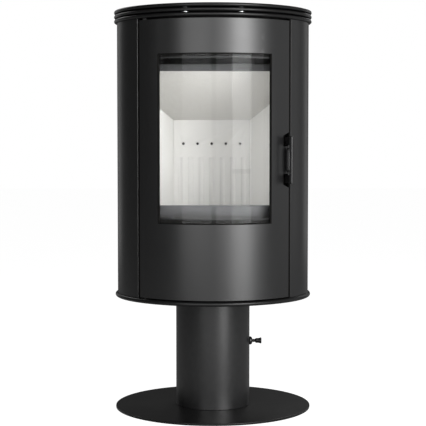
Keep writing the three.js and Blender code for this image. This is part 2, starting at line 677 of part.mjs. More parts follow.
function lining() {
  const group = new THREE.Group();
  const inner = planCorners(0);
  const outer = planCorners(LINING_THICKNESS);
  const over = aboveBaffle(CLEARANCE, BODY_RADIUS * 4);
  const front = (plan) => new THREE.Vector2(plan.side, -BODY_RADIUS);

  const back = liningBoard(inner.backCorner, mirrored(inner.backCorner),
    mirrored(outer.backCorner), outer.backCorner);
  add(group, 'lining_back', cut(back, over, ...flutes(), ...airHoles(AIR_HOLE_RADIUS)), firebrick);

  for (const [name, flip] of [['right', (p) => p], ['left', mirrored]]) {
    const corner = liningBoard(...[
      inner.sideCorner, inner.backCorner, outer.backCorner, outer.sideCorner].map(flip));
    add(group, `lining_corner_${name}`, cut(corner, over), firebrick);
    const side = liningBoard(...[front(inner), inner.sideCorner, outer.sideCorner, front(outer)].map(flip));
    add(group, `lining_side_${name}`, behindFront(cut(side, over)), firebrick);
  }

  const floorOutline = planPlate(LINING_THICKNESS, FIREBOX_FLOOR_Z + FIREBOX_WALL + CLEARANCE, LINING_LOW);
  const half = GRATE_SIZE / 2 + RUNNING_CLEARANCE;
  add(group, 'lining_floor', cut(floorOutline, block(-half, half, -half, half, 0, STOVE_TOP)), firebrick);

  const boards = prism(planOutline(LINING_THICKNESS, BAFFLE_FRONT_Y), BAFFLE_BACK_Z - 100, FIREBOX_ROOF_Z);
  const slope = BAFFLE_THICKNESS * Math.hypot(1, BAFFLE_SLOPE);
  add(group, 'baffle_lower', boards.intersect(aboveBaffle(0, slope)), baffleBoard);

  const upperLow = WINDOW_TOP + UPPER_BAFFLE_RISE;
  const upper = prism(planOutline(LINING_THICKNESS, UPPER_BAFFLE_FRONT_Y),
    upperLow, upperLow + UPPER_BAFFLE_THICKNESS);
  const upperBack = block(-BODY_RADIUS, BODY_RADIUS, UPPER_BAFFLE_BACK_Y, BODY_RADIUS, 0, STOVE_TOP);
  add(group, 'baffle_upper', behindFront(cut(upper, upperBack)), baffleBoard);
  return group;
}

function fireboxShell() {
  const group = new THREE.Group();
  const floorTop = FIREBOX_FLOOR_Z + FIREBOX_WALL;

  const wall = cut(
    prism(planOutline(SHELL_OUTSIDE, -BODY_RADIUS), floorTop + CLEARANCE, FIREBOX_ROOF_Z - CLEARANCE),
    prism(planOutline(SHELL_INSIDE, -BODY_RADIUS * 2), 0, STOVE_TOP),
    ...airHoles(AIR_HOLE_RADIUS),
  );
  add(group, 'firebox_shell', behindFront(wall), innerSteel);

  const flueHole = post(new THREE.Vector2(0, 0), FLUE_RADIUS - FLUE_WALL, 0, STOVE_TOP, TUBE_SEGMENTS);
  const roof = planPlate(SHELL_OUTSIDE, FIREBOX_ROOF_Z, FIREBOX_ROOF_Z + FIREBOX_WALL);
  add(group, 'firebox_roof', cut(roof, flueHole), innerSteel);

  const half = GRATE_SIZE / 2 - GRATE_SEAT;
  const floor = planPlate(SHELL_OUTSIDE, FIREBOX_FLOOR_Z, floorTop);
  add(group, 'firebox_floor', cut(floor, block(-half, half, -half, half, 0, STOVE_TOP)), innerSteel);

  const front = cut(
    sectorFrame(FRONT_RADIUS - FRONT_THICKNESS, FRONT_RADIUS, FRONT_HALF_ANGLE, FRONT_OPENING_ANGLE,
      CASING_LOW_EDGE, CASING_HIGH_EDGE,
      WINDOW_BOTTOM - FRONT_OPENING_BELOW, WINDOW_TOP + FRONT_OPENING_ABOVE),
    block(-ASH_BOX_HALF_WIDTH, ASH_BOX_HALF_WIDTH, -BODY_RADIUS, 0,
      ASH_BOX_LOW, ASH_BOX_LOW + ASH_BOX_MOUTH),
  );
  add(group, 'firebox_front', front, innerSteel);

  const duct = {
    half: ((AIR_HOLE_COUNT - 1) / 2) * AIR_HOLE_PITCH + DUCT_MARGIN,
    front: LINING_BACK_Y + SHELL_OUTSIDE + CLEARANCE,
    depth: DUCT_DEPTH,
    low: FIREBOX_FLOOR_Z - DUCT_DROP,
    high: AIR_HOLE_Z + DUCT_RISE,
    wall: DUCT_WALL,
  };
  const ductBack = duct.front + duct.depth;
  const ductBody = cut(
    block(-duct.half, duct.half, duct.front, ductBack, duct.low, duct.high),
    block(-duct.half + duct.wall, duct.half - duct.wall, duct.front - 1, ductBack - duct.wall,
      duct.low - 1, duct.high - duct.wall),
  );
  add(group, 'secondary_air_duct', ductBody, innerSteel);

  const collarLow = FIREBOX_ROOF_Z + FIREBOX_WALL + CLEARANCE;
  const collarTop = STOVE_TOP + FLUE_RISE;
  const flangeRadius = FLUE_RADIUS + FLUE_FLANGE_WIDTH;
  const bore = FLUE_RADIUS - FLUE_WALL;
  add(group, 'flue_collar', turned([
    [bore, collarLow], [flangeRadius, collarLow], [flangeRadius, collarLow + FIREBOX_WALL],
    [FLUE_RADIUS, collarLow + FIREBOX_WALL], [FLUE_RADIUS, collarTop], [bore, collarTop],
  ], TUBE_SEGMENTS), innerSteel);
  return group;
}

function grateAndGuard() {
  const group = new THREE.Group();
  const half = GRATE_SIZE / 2;
  const low = FIREBOX_FLOOR_Z + FIREBOX_WALL + CLEARANCE;
  const pitch = (GRATE_SIZE - 2 * GRATE_SEAT) / GRATE_SLOT_COUNT;
  const slots = Array.from({ length: GRATE_SLOT_COUNT }, (_, i) => {
    const x = (i - (GRATE_SLOT_COUNT - 1) / 2) * pitch;
    const reach = half - GRATE_SEAT - 6;
    return block(x - GRATE_SLOT_WIDTH / 2, x + GRATE_SLOT_WIDTH / 2, -reach, reach, 0, STOVE_TOP);
  });
  add(group, 'grate', cut(block(-half, half, -half, half, low, low + GRATE_THICKNESS), ...slots), castGrate);

  const backY = GUARD_FRONT_Y + GUARD_THICKNESS;
  const guardLow = WINDOW_BOTTOM + GUARD_RISE;
  const plate = block(-GUARD_HALF_WIDTH, GUARD_HALF_WIDTH, GUARD_FRONT_Y, backY,
    guardLow, guardLow + GUARD_HEIGHT);
  const feet = [-1, 1].map((side) => {
    const x = side * GUARD_FOOT_X;
    return block(x - GUARD_FOOT_WIDTH / 2, x + GUARD_FOOT_WIDTH / 2, GUARD_FRONT_Y, backY + 20,
      LINING_LOW + CLEARANCE, LINING_LOW + CLEARANCE + 4);
  });
  const legs = [-1, 1].map((side) => {
    const x = side * GUARD_FOOT_X;
    return block(x - GUARD_FOOT_WIDTH / 2, x + GUARD_FOOT_WIDTH / 2, GUARD_FRONT_Y + 1, backY,
      LINING_LOW + CLEARANCE, guardLow + 2);
  });
  add(group, 'log_guard', joined(plate, ...feet, ...legs), guardSteel);
  return group;
}

function underFirebox() {
  const group = new THREE.Group();
  const high = FIREBOX_FLOOR_Z - CLEARANCE;
  const outer = ASH_BOX_HALF_WIDTH;
  const box = cut(
    block(-outer, outer, -BODY_RADIUS, ASH_BOX_BACK_Y, ASH_BOX_LOW, high),
    block(-outer + ASH_BOX_WALL, outer - ASH_BOX_WALL, -BODY_RADIUS * 2, ASH_BOX_BACK_Y - ASH_BOX_WALL,
      ASH_BOX_LOW + ASH_BOX_WALL, STOVE_TOP),
    post(new THREE.Vector2(0, 0), AIR_PIPE_RADIUS - AIR_PIPE_WALL, 0, ASH_BOX_LOW + 20, TUBE_SEGMENTS),
  );
  add(group, 'ash_box', behindFront(box), innerSteel);

  add(group, 'air_pipe', ring(AIR_PIPE_RADIUS - AIR_PIPE_WALL, AIR_PIPE_RADIUS,
    CASING_LOW_EDGE, ASH_BOX_LOW - CLEARANCE, TUBE_SEGMENTS), innerSteel);

  for (const [name, side] of [['left', -1], ['right', 1]]) {
    const x = side * (outer + LEG_OFFSET);
    const beam = (half, from, to) => block(x - half, x + half, -LEG_HALF_LENGTH, LEG_HALF_LENGTH, from, to);
    const web = beam(LEG_THICKNESS / 2, CASING_LOW_EDGE, high);
    const foot = beam(LEG_HALF_WIDTH, CASING_LOW_EDGE, CASING_LOW_EDGE + LEG_THICKNESS);
    const head = beam(LEG_HALF_WIDTH, high - LEG_THICKNESS, high);
    add(group, `firebox_leg_${name}`, joined(web, foot, head), innerSteel);
  }
  return group;
}

function ashPan() {
  const group = new THREE.Group();
  const half = ASH_BOX_HALF_WIDTH - ASH_BOX_WALL - ASH_PAN_PLAY;
  const low = ASH_BOX_LOW + ASH_BOX_WALL + CLEARANCE;
  const high = low + ASH_PAN_HEIGHT;
  const back = ASH_PAN_FRONT_Y + ASH_PAN_LENGTH;
  const tray = cut(
    block(-half, half, ASH_PAN_FRONT_Y, back, low, high),
    block(-half + ASH_PAN_WALL, half - ASH_PAN_WALL, ASH_PAN_FRONT_Y + ASH_PAN_WALL, back - ASH_PAN_WALL,
      low + ASH_PAN_WALL, high + 1),
  );
  add(group, 'ash_pan', tray, guardSteel);

  const gripY = ASH_PAN_FRONT_Y - PAN_HANDLE_REACH;
  const gripZ = (low + high) / 2;
  const section = PAN_HANDLE_SECTION / 2;
  const wide = PAN_HANDLE_HALF_WIDTH;
  const loop = cut(
    block(-wide, wide, gripY - section, ASH_PAN_FRONT_Y - CLEARANCE, gripZ - section, gripZ + section),
    block(-wide + 2 * section, wide - 2 * section, gripY + section, 0, 0, STOVE_TOP),
  );
  // The loop's two ends are welded to the pan's front by a small strap.
  const strap = block(-wide, wide, ASH_PAN_FRONT_Y - CLEARANCE - 2, ASH_PAN_FRONT_Y - CLEARANCE,
    gripZ - section, gripZ + section);
  add(group, 'ash_pan_handle', joined(loop, strap), handleBlack);
  return group;
}

// ---------------------------------------------------------------- hinge pins on the body

const HINGE_BEARING = HINGE_EDGE_ANGLE - DOOR_HALF_ANGLE;
const HINGE_AXIS = at(HINGE_BEARING, BODY_RADIUS - HINGE_INSET);

/** A hinge pin standing on a plate: the collar at the plate, the pin reaching into the door. */
function hingePin(plateZ, direction, doorEdge) {
  const collarStart = plateZ + direction * CLEARANCE;
  const collarEnd = doorEdge - direction * CLEARANCE;
  const tip = doorEdge + direction * (DOOR_FLANGE + HINGE_PIN_REACH);
  const span = (a, b) => [Math.min(a, b), Math.max(a, b)];
  return joined(
    post(HINGE_AXIS, HINGE_COLLAR_RADIUS, ...span(collarStart, collarEnd), PIN_SEGMENTS),
    post(HINGE_AXIS, HINGE_PIN_RADIUS, ...span(collarStart, tip), PIN_SEGMENTS),
  );
}

function hingePins() {
  const group = new THREE.Group();
  add(group, 'hinge_pin_top', hingePin(CASING_TOP, -1, DOOR_HIGH), zinc);
  add(group, 'hinge_pin_bottom', hingePin(BOTTOM_PLATE_TOP, 1, DOOR_LOW), zinc);
  return group;
}

// ---------------------------------------------------------------- door

const HANDLE_PIVOT_BEARING = DOOR_HALF_ANGLE - HANDLE_PIVOT_EDGE_ANGLE;
const HANDLE_PIVOT = at(HANDLE_PIVOT_BEARING, BODY_RADIUS + HANDLE_PIVOT_STANDOFF);
const HANDLE_BAR_BEARING = DOOR_HALF_ANGLE - HANDLE_BAR_EDGE_ANGLE;
const HANDLE_BAR = at(HANDLE_BAR_BEARING, BODY_RADIUS + HANDLE_BAR_STANDOFF);
const HANDLE_BAR_HIGH = HANDLE_BAR_LOW + HANDLE_BAR_LENGTH;
const ARM_END_MARGIN = 2;

/** The low and high faces of the two handle arms. */
const HANDLE_ARMS = [
  { name: 'top', low: HANDLE_BAR_HIGH - ARM_END_MARGIN - HANDLE_ARM_HEIGHT, up: 1 },
  { name: 'bottom', low: HANDLE_BAR_LOW + ARM_END_MARGIN, up: -1 },
].map((arm) => ({ ...arm, high: arm.low + HANDLE_ARM_HEIGHT }));

/** The opening in the door's edge for one arm, flared away from the handle's middle. */
function armNotch({ low, high, up }) {
  const reach = radians(NOTCH_ANGLE) * BODY_RADIUS;
  const past = 4;
  const [near, far] = up > 0
    ? [low - NOTCH_MARGIN, high + NOTCH_MARGIN]
    : [high + NOTCH_MARGIN, low - NOTCH_MARGIN];
  const outline = [
    new THREE.Vector2(-reach, near), new THREE.Vector2(past, near),
    new THREE.Vector2(past, far + up * NOTCH_SLOPE), new THREE.Vector2(-reach, far),
  ];
  if (THREE.ShapeUtils.area(outline) < 0) outline.reverse();
  const geometry = new THREE.ExtrudeGeometry(new THREE.Shape(outline), { depth: 40, bevelEnabled: false });
  geometry.rotateX(Math.PI / 2);
  geometry.translate(0, -BODY_RADIUS + 30, 0);
  geometry.rotateZ(radians(DOOR_HALF_ANGLE));
  return solidOf(geometry);
}

/** The door's curved skin with its four edges folded inwards and the window cut out. */
function doorPanel() {
  const inner = DOOR_INNER_RADIUS;
  const skinInner = BODY_RADIUS - DOOR_SKIN;
  const half = DOOR_HALF_ANGLE;
  const flangeAngle = (DOOR_FLANGE / BODY_RADIUS) * (180 / Math.PI);
  const hollow = sector(inner - 5, skinInner, -half + flangeAngle, half - flangeAngle,
    DOOR_LOW + DOOR_FLANGE, DOOR_HIGH - DOOR_FLANGE);
  const window = sector(inner - 5, BODY_RADIUS + 5, -WINDOW_HALF_ANGLE, WINDOW_HALF_ANGLE,
    WINDOW_BOTTOM, WINDOW_TOP);
  const pinHole = HINGE_PIN_RADIUS + RUNNING_CLEARANCE;
  const pinHoles = [DOOR_LOW, DOOR_HIGH].map((z) => post(HINGE_AXIS, pinHole, z - 4, z + 4));
  return cut(sector(inner, BODY_RADIUS, -half, half, DOOR_LOW, DOOR_HIGH),
    hollow, window, ...pinHoles, ...HANDLE_ARMS.map(armNotch));
}

/** A block inside the door that turns on a hinge pin. */
function hingeBlock(low) {
  const geometry = new THREE.BoxGeometry(HINGE_BLOCK_WIDTH, HINGE_BLOCK_DEPTH, HINGE_BLOCK_HEIGHT);
  geometry.rotateZ(radians(HINGE_BEARING));
  geometry.translate(HINGE_AXIS.x, HINGE_AXIS.y, low + HINGE_BLOCK_HEIGHT / 2);
  const bore = post(HINGE_AXIS, HINGE_PIN_RADIUS + RUNNING_CLEARANCE, 0, STOVE_TOP);
  return cut(solidOf(geometry), bore);
}

function door() {
  const group = new THREE.Group();
  add(group, 'door_panel', doorPanel(), stoveBlack);

  const skinInner = BODY_RADIUS - DOOR_SKIN;
  const sealOuter = skinInner - CLEARANCE;
  const glassOuter = sealOuter - GLASS_SEAL - CLEARANCE;
  const glassInner = glassOuter - GLASS_THICKNESS;
  const glassHalf = WINDOW_HALF_ANGLE + GLASS_LAP_ANGLE;
  const glassLow = WINDOW_BOTTOM - GLASS_LAP;
  const glassHigh = WINDOW_TOP + GLASS_LAP;
  add(group, 'glass_seal', sectorFrame(sealOuter - GLASS_SEAL, sealOuter,
    glassHalf, WINDOW_HALF_ANGLE + 1.2, glassLow, glassHigh, WINDOW_BOTTOM - 5, WINDOW_TOP + 5), sealRope);
  add(group, 'door_glass', sector(glassInner, glassOuter, -glassHalf, glassHalf, glassLow, glassHigh),
    stoveGlass);

  const clipOuter = glassInner - CLEARANCE;
  const clipInner = clipOuter - RETAINER_THICKNESS;
  const clipHalf = RETAINER_SIDE_ANGLE + RETAINER_LAP_ANGLE;
  const lowLip = WINDOW_BOTTOM + RETAINER_SHOW_BOTTOM;
  const highLip = WINDOW_TOP - RETAINER_SHOW_TOP;
  const clipLow = glassLow - RETAINER_LAP;
  const clipHigh = glassHigh + RETAINER_LAP;
  add(group, 'glass_retainer', sectorFrame(clipInner, clipOuter, clipHalf, RETAINER_SIDE_ANGLE,
    clipLow, clipHigh, lowLip, highLip), innerSteel);

  const frameLow = DOOR_LOW + DOOR_FLANGE + SEAL_FRAME_MARGIN;
  const frameHigh = DOOR_HIGH - DOOR_FLANGE - SEAL_FRAME_MARGIN;
  const frameInner = DOOR_INNER_RADIUS + 2;
  add(group, 'door_seal_frame', sectorFrame(frameInner, sealOuter,
    SEAL_FRAME_OUTER_ANGLE, SEAL_FRAME_INNER_ANGLE, frameLow, frameHigh,
    frameLow + SEAL_FRAME_RAIL, frameHigh - SEAL_FRAME_RAIL), innerSteel);

  const ropeOuter = frameInner - CLEARANCE;
  const ropeMid = (SEAL_FRAME_INNER_ANGLE + SEAL_FRAME_OUTER_ANGLE) / 2 + 0.15;
  const ropeHalf = ((ROPE_WIDTH / 2) / ropeOuter) * (180 / Math.PI);
  const ropeInset = (SEAL_FRAME_RAIL - ROPE_WIDTH) / 2;
  add(group, 'door_rope_seal', sectorFrame(ropeOuter - ROPE_DEPTH, ropeOuter,
    ropeMid + ropeHalf, ropeMid - ropeHalf, frameLow + ropeInset, frameHigh - ropeInset,
    frameLow + ropeInset + ROPE_WIDTH, frameHigh - ropeInset - ROPE_WIDTH), sealRope);

  const blockGap = DOOR_FLANGE + CLEARANCE;
  add(group, 'hinge_block_top', hingeBlock(DOOR_HIGH - blockGap - HINGE_BLOCK_HEIGHT), innerSteel);
  add(group, 'hinge_block_bottom', hingeBlock(DOOR_LOW + blockGap), innerSteel);

  const middle = HANDLE_BAR_LOW + HANDLE_BAR_LENGTH / 2;
  const end = HANDLE_BARREL_LENGTH / 2;
  const bore = HANDLE_PIN_RADIUS + RUNNING_CLEARANCE;
  const tip = bore + 1.2;
  const barrel = moved(turned([
    [bore, -end], [tip, -end], [HANDLE_BARREL_RADIUS, -end + HANDLE_BARREL_TAPER],
    [HANDLE_BARREL_RADIUS, end - HANDLE_BARREL_TAPER], [tip, end], [bore, end],
  ], PIN_SEGMENTS), HANDLE_PIVOT.x, HANDLE_PIVOT.y, middle);
  const webGeometry = new THREE.BoxGeometry(4, 4, HANDLE_BARREL_LENGTH - 2 * HANDLE_BARREL_TAPER);
  webGeometry.translate(0, -(BODY_RADIUS + CLEARANCE + 2), middle);
  webGeometry.rotateZ(radians(HANDLE_PIVOT_BEARING));
  add(group, 'handle_barrel', joined(barrel, solidOf(webGeometry)), handleBlack);
  return group;
}

// ---------------------------------------------------------------- handle

/** A handle arm: from the grip bar over the pivot to the latch nose inside the door's edge. */
function handleArm({ low, high }) {
  const inward = HANDLE_PIVOT.clone().sub(HANDLE_BAR).normalize();
  const across = new THREE.Vector2(-inward.y, inward.x).multiplyScalar(HANDLE_ARM_WIDTH / 2);
  const start = HANDLE_BAR.clone().addScaledVector(inward, HANDLE_BAR_RADIUS + CLEARANCE);
  const nose = HANDLE_PIVOT.clone().addScaledVector(inward, HANDLE_NOSE);
  const narrow = across.clone().multiplyScalar(0.6);
  const outline = [
    start.clone().sub(across), start.clone().add(across),
    nose.clone().addScaledVector(inward, -6).add(across), nose.clone().add(narrow),
    nose.clone().sub(narrow), nose.clone().addScaledVector(inward, -6).sub(across),
  ];
  if (THREE.ShapeUtils.area(outline) < 0) outline.reverse();
  const bore = post(HANDLE_PIVOT, HANDLE_PIN_RADIUS + CLEARANCE, low - 1, high + 1, PIN_SEGMENTS);
  return cut(prism(outline, low, high), bore);
}

function handle() {
  const group = new THREE.Group();
  const dome = 2;
  const barEnd = HANDLE_BAR_LENGTH / 2;
  const middle = HANDLE_BAR_LOW + barEnd;
  add(group, 'handle_bar', moved(turned([
    [0, -barEnd], [HANDLE_BAR_RADIUS - dome, -barEnd], [HANDLE_BAR_RADIUS, -barEnd + dome],
    [HANDLE_BAR_RADIUS, barEnd - dome], [HANDLE_BAR_RADIUS - dome, barEnd], [0, barEnd],
  ], HOLE_SEGMENTS), HANDLE_BAR.x, HANDLE_BAR.y, middle), handleBlack);
  HANDLE_ARMS.forEach((arm) => add(group, `handle_arm_${arm.name}`, handleArm(arm), handleBlack));
  const [top, bottom] = HANDLE_ARMS;
  add(group, 'handle_pin', post(HANDLE_PIVOT, HANDLE_PIN_RADIUS, bottom.low, top.high, PIN_SEGMENTS), zinc);
  return group;
}

/** The catch plates behind the casing's edge, beside the two arms' noses. */
function latchKeepers() {
  const group = new THREE.Group();
  const outer = BODY_RADIUS - CASING_THICKNESS - CLEARANCE;
  const near = CASING_EDGE_ANGLE + 1.2;
  HANDLE_ARMS.forEach((arm) => {
    const keeper = sector(outer - 6, outer, near, near + 5, arm.low - 6, arm.high + 6);
    add(group, `latch_keeper_${arm.name}`, keeper, innerSteel);
  });
  return group;
}

// ---------------------------------------------------------------- the stove

const stove = new THREE.Group();
stove.name = 'wood_burning_stove';
for (const section of [
  pedestal, airValve, airControl, casing, topPlates, fireboxShell, lining, grateAndGuard,
  underFirebox, ashPan, hingePins, latchKeepers, door, handle,
]) {
  stove.add(section());
}

export default stove;
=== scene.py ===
"""A round wood burning stove on a pedestal, modelled and dressed for a studio view.

Everything is in metres in the stove's own frame: +Z is up, the door faces -Y, and the origin is on
the floor, on the axis of the body and the column. Bearings on the body are in degrees from the
front (-Y), positive towards +X.
"""

import logging
import math
from dataclasses import dataclass, field
from enum import Enum
from typing import Callable, Optional, Sequence

import bmesh
import bpy
from mathutils import Matrix, Vector


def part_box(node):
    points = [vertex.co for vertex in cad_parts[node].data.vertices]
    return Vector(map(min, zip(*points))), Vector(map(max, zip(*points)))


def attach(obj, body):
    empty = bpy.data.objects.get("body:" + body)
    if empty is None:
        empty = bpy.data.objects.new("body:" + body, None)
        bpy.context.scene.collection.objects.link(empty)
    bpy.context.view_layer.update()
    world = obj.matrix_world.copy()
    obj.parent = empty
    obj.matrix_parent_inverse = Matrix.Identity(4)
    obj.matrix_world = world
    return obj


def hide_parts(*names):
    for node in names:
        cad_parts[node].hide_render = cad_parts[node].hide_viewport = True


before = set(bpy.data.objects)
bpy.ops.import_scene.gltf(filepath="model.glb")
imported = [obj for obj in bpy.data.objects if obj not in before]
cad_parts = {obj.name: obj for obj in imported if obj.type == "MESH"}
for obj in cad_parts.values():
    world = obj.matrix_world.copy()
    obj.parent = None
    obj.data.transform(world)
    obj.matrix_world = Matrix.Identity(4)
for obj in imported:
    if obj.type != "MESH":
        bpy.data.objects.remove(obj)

Colour = tuple[float, float, float]
Profile = Sequence[tuple[float, float]]
Shape = bpy.types.Object

log = logging.getLogger("stove")

SENSOR_WIDTH = 36.0
TALL_STEP = 0.12
GLASS_LAP = 0.013
SHARP_EDGE = math.radians(35.0)
ROUND_FACE = 0.97


class Body(Enum):
    """The bodies that a piece can ride on."""

    STOVE = "stove"
    DOOR = "door"
    HANDLE = "handle"
    AIR_CONTROL = "air_control"
    ASH_DRAWER = "ash_drawer"


class Finish(Enum):
    """The finishes, each named as the record's material slot."""

    STOVE_PAINT = "stove_paint"
    PLATE_PAINT = "plate_paint"
    INNER_STEEL = "inner_steel"
    FIREBRICK = "firebrick"
    BAFFLE_BOARD = "baffle_board"
    GUARD_STEEL = "guard_steel"
    CAST_IRON = "cast_iron"
    ZINC = "zinc"
    SEAL_ROPE = "seal_rope"
    HANDLE_BLACK = "handle_black"
    STOVE_GLASS = "stove_glass"


# ------------------------------------------------------------------------------ shader groups


class NodeGroup:
    """A shader node group with named inputs and outputs, and short calls to wire it."""

    def __init__(self, name: str, inputs: dict[str, float], outputs: Sequence[str]) -> None:
        """Starts an empty group.

        Args:
            name: the group's name.
            inputs: each number input and its usual value.
            outputs: the names of the number outputs.
        """
        self.tree = bpy.data.node_groups.new(name, "ShaderNodeTree")
        for label, value in inputs.items():
            socket = self.tree.interface.new_socket(label, in_out="INPUT", socket_type="NodeSocketFloat")
            socket.default_value = value
        for label in outputs:
            self.tree.interface.new_socket(label, in_out="OUTPUT", socket_type="NodeSocketFloat")
        self.given = self.tree.nodes.new("NodeGroupInput")
        self.result = self.tree.nodes.new("NodeGroupOutput")

    def node(self, kind: str, **settings: object) -> bpy.types.Node:
        """Adds a node and sets its properties.

        Args:
            kind: the node's type name.
            settings: properties of the node.

        Returns:
            The new node.
        """
        return add_node(self.tree, kind, **settings)

    def join(self, source: bpy.types.NodeSocket, target: bpy.types.NodeSocket) -> None:
        """Links one socket to another."""
        self.tree.links.new(source, target)

    def math(self, operation: str, first: object, second: object = 0.0) -> bpy.types.NodeSocket:
        """Adds a math node.

        Args:
            operation: the node's operation.
            first: a socket or a number.
            second: a socket or a number.

        Returns:
            The node's value socket.
        """
        return add_math(self.tree, operation, first, second)

    def noise(self, scale: object, detail: float, coords: bpy.types.NodeSocket) -> bpy.types.NodeSocket:
        """Adds a noise texture.

        Args:
            scale: a socket or a number, per metre.
            detail: the number of octaves.
            coords: the coordinates to read.

        Returns:
            The noise value.
        """
        made = self.node("ShaderNodeTexNoise")
        made.inputs["Detail"].default_value = detail
        put(self.tree, scale, made.inputs["Scale"])
        self.join(coords, made.inputs["Vector"])
        return made.outputs["Fac"]

    def remap(self, value: bpy.types.NodeSocket, low: object, high: object) -> bpy.types.NodeSocket:
        """Stretches a value so that low becomes 0 and high becomes 1, held between them.

        Args:
            value: the socket to stretch.
            low: a socket or a number.
            high: a socket or a number.

        Returns:
            The stretched value.
        """
        made = self.node("ShaderNodeMapRange")
        self.join(value, made.inputs["Value"])
        put(self.tree, low, made.inputs["From Min"])
        put(self.tree, high, made.inputs["From Max"])
        return made.outputs["Result"]


def add_node(tree: bpy.types.NodeTree, kind: str, **settings: object) -> bpy.types.Node:
    """Adds a node to a tree and sets its properties.

    Args:
        tree: the node tree.
        kind: the node's type name.
        settings: properties of the node.

    Returns:
        The new node.
    """
    made = tree.nodes.new(kind)
    for label, value in settings.items():
        setattr(made, label, value)
    return made


def put(tree: bpy.types.NodeTree, value: object, target: bpy.types.NodeSocket) -> None:
    """Links a socket to an input, or writes a number into it."""
    if isinstance(value, bpy.types.NodeSocket):
        tree.links.new(value, target)
    else:
        target.default_value = value


def add_math(
    tree: bpy.types.NodeTree, operation: str, first: object, second: object = 0.0
) -> bpy.types.NodeSocket:
    """Adds a math node to a tree.

    Args:
        tree: the node tree.
        operation: the node's operation.
        first: a socket or a number.
        second: a socket or a number.

    Returns:
        The node's value socket.
    """
    made = add_node(tree, "ShaderNodeMath", operation=operation)
    put(tree, first, made.inputs[0])
    put(tree, second, made.inputs[1])
    return made.outputs[0]


def sprayed_grain() -> bpy.types.NodeTree:
    """Fine dimples of sprayed paint, with a slow drift in tone and polish.

    Returns:
        The group's tree, with Height, Tone and Polish.
    """
    scales = {"Grain Scale": 900.0, "Drift Scale": 6.0}
    group = NodeGroup("sprayed_grain", scales, ["Height", "Tone", "Polish"])
    place = group.node("ShaderNodeTexCoord").outputs["Object"]
    fine = group.noise(group.given.outputs["Grain Scale"], 3.0, place)
    group.join(fine, group.result.inputs["Height"])
    drift = group.noise(group.given.outputs["Drift Scale"], 4.0, place)
    group.join(drift, group.result.inputs["Tone"])
    quicker = group.math("MULTIPLY", group.given.outputs["Drift Scale"], 3.7)
    patches = group.noise(quicker, 3.0, place)
    mixed = group.math("ADD", group.math("MULTIPLY", patches, 0.7), group.math("MULTIPLY", fine, 0.3))
    group.join(mixed, group.result.inputs["Polish"])
    return group.tree


def rubbed_edges() -> bpy.types.NodeTree:
    """A mask that is high on outside edges, broken up as rubbed paint is.

    Returns:
        The group's tree, with Mask.
    """
    values = {"Edge Start": 0.53, "Edge Full": 0.62, "Breakup Scale": 70.0}
    group = NodeGroup("rubbed_edges", values, ["Mask"])
    sharp = group.node("ShaderNodeNewGeometry").outputs["Pointiness"]
    place = group.node("ShaderNodeTexCoord").outputs["Object"]
    edge = group.remap(sharp, group.given.outputs["Edge Start"], group.given.outputs["Edge Full"])
    broken = group.remap(group.noise(group.given.outputs["Breakup Scale"], 5.0, place), 0.42, 0.66)
    group.join(group.math("MULTIPLY", edge, broken), group.result.inputs["Mask"])
    return group.tree


def settled_dust() -> bpy.types.NodeTree:
    """A mask of fine dust on faces that look up.

    Returns:
        The group's tree, with Mask.
    """
    group = NodeGroup("settled_dust", {"Patch Scale": 14.0}, ["Mask"])
    normal = group.node("ShaderNodeNewGeometry").outputs["Normal"]
    split = group.node("ShaderNodeSeparateXYZ")
    group.join(normal, split.inputs[0])
    upward = group.remap(split.outputs["Z"], 0.75, 1.0)
    place = group.node("ShaderNodeTexCoord").outputs["Object"]
    patches = group.remap(group.noise(group.given.outputs["Patch Scale"], 6.0, place), 0.35, 0.8)
    group.join(group.math("MULTIPLY", upward, patches), group.result.inputs["Mask"])
    return group.tree


def pressed_flakes() -> bpy.types.NodeTree:
    """The flat flakes and pores of a pressed heat-resistant board.

    Returns:
        The group's tree, with Height, Tone and Stain.
    """
    scales = {"Flake Scale": 260.0, "Stain Scale": 7.0}
    group = NodeGroup("pressed_flakes", scales, ["Height", "Tone", "Stain"])
    place = group.node("ShaderNodeTexCoord").outputs["Object"]
    cells = group.node("ShaderNodeTexVoronoi", feature="F1")
    group.join(group.given.outputs["Flake Scale"], cells.inputs["Scale"])
    group.join(place, cells.inputs["Vector"])
    pores = group.noise(group.math("MULTIPLY", group.given.outputs["Flake Scale"], 2.3), 4.0, place)
    height = group.math("ADD", group.math("MULTIPLY", cells.outputs["Distance"], 0.6), pores)
    group.join(height, group.result.inputs["Height"])
    shade = group.node("ShaderNodeSeparateColor")
    group.join(cells.outputs["Color"], shade.inputs[0])
    group.join(shade.outputs["Red"], group.result.inputs["Tone"])
    group.join(group.noise(group.given.outputs["Stain Scale"], 5.0, place), group.result.inputs["Stain"])
    return group.tree


def drawn_lines() -> bpy.types.NodeTree:
    """Long fine lines, as rolling and brushing leave on bare sheet.

    Returns:
        The group's tree, with Height and Tone.
    """
    group = NodeGroup("drawn_lines", {"Line Scale": 1400.0, "Cloud Scale": 18.0}, ["Height", "Tone"])
    place = group.node("ShaderNodeTexCoord").outputs["Object"]
    stretch = group.node("ShaderNodeMapping")
    stretch.inputs["Scale"].default_value = (0.02, 0.02, 1.0)
    group.join(place, stretch.inputs["Vector"])
    group.join(
        group.noise(group.given.outputs["Line Scale"], 3.0, stretch.outputs["Vector"]),
        group.result.inputs["Height"],
    )
    group.join(group.noise(group.given.outputs["Cloud Scale"], 5.0, place), group.result.inputs["Tone"])
    return group.tree


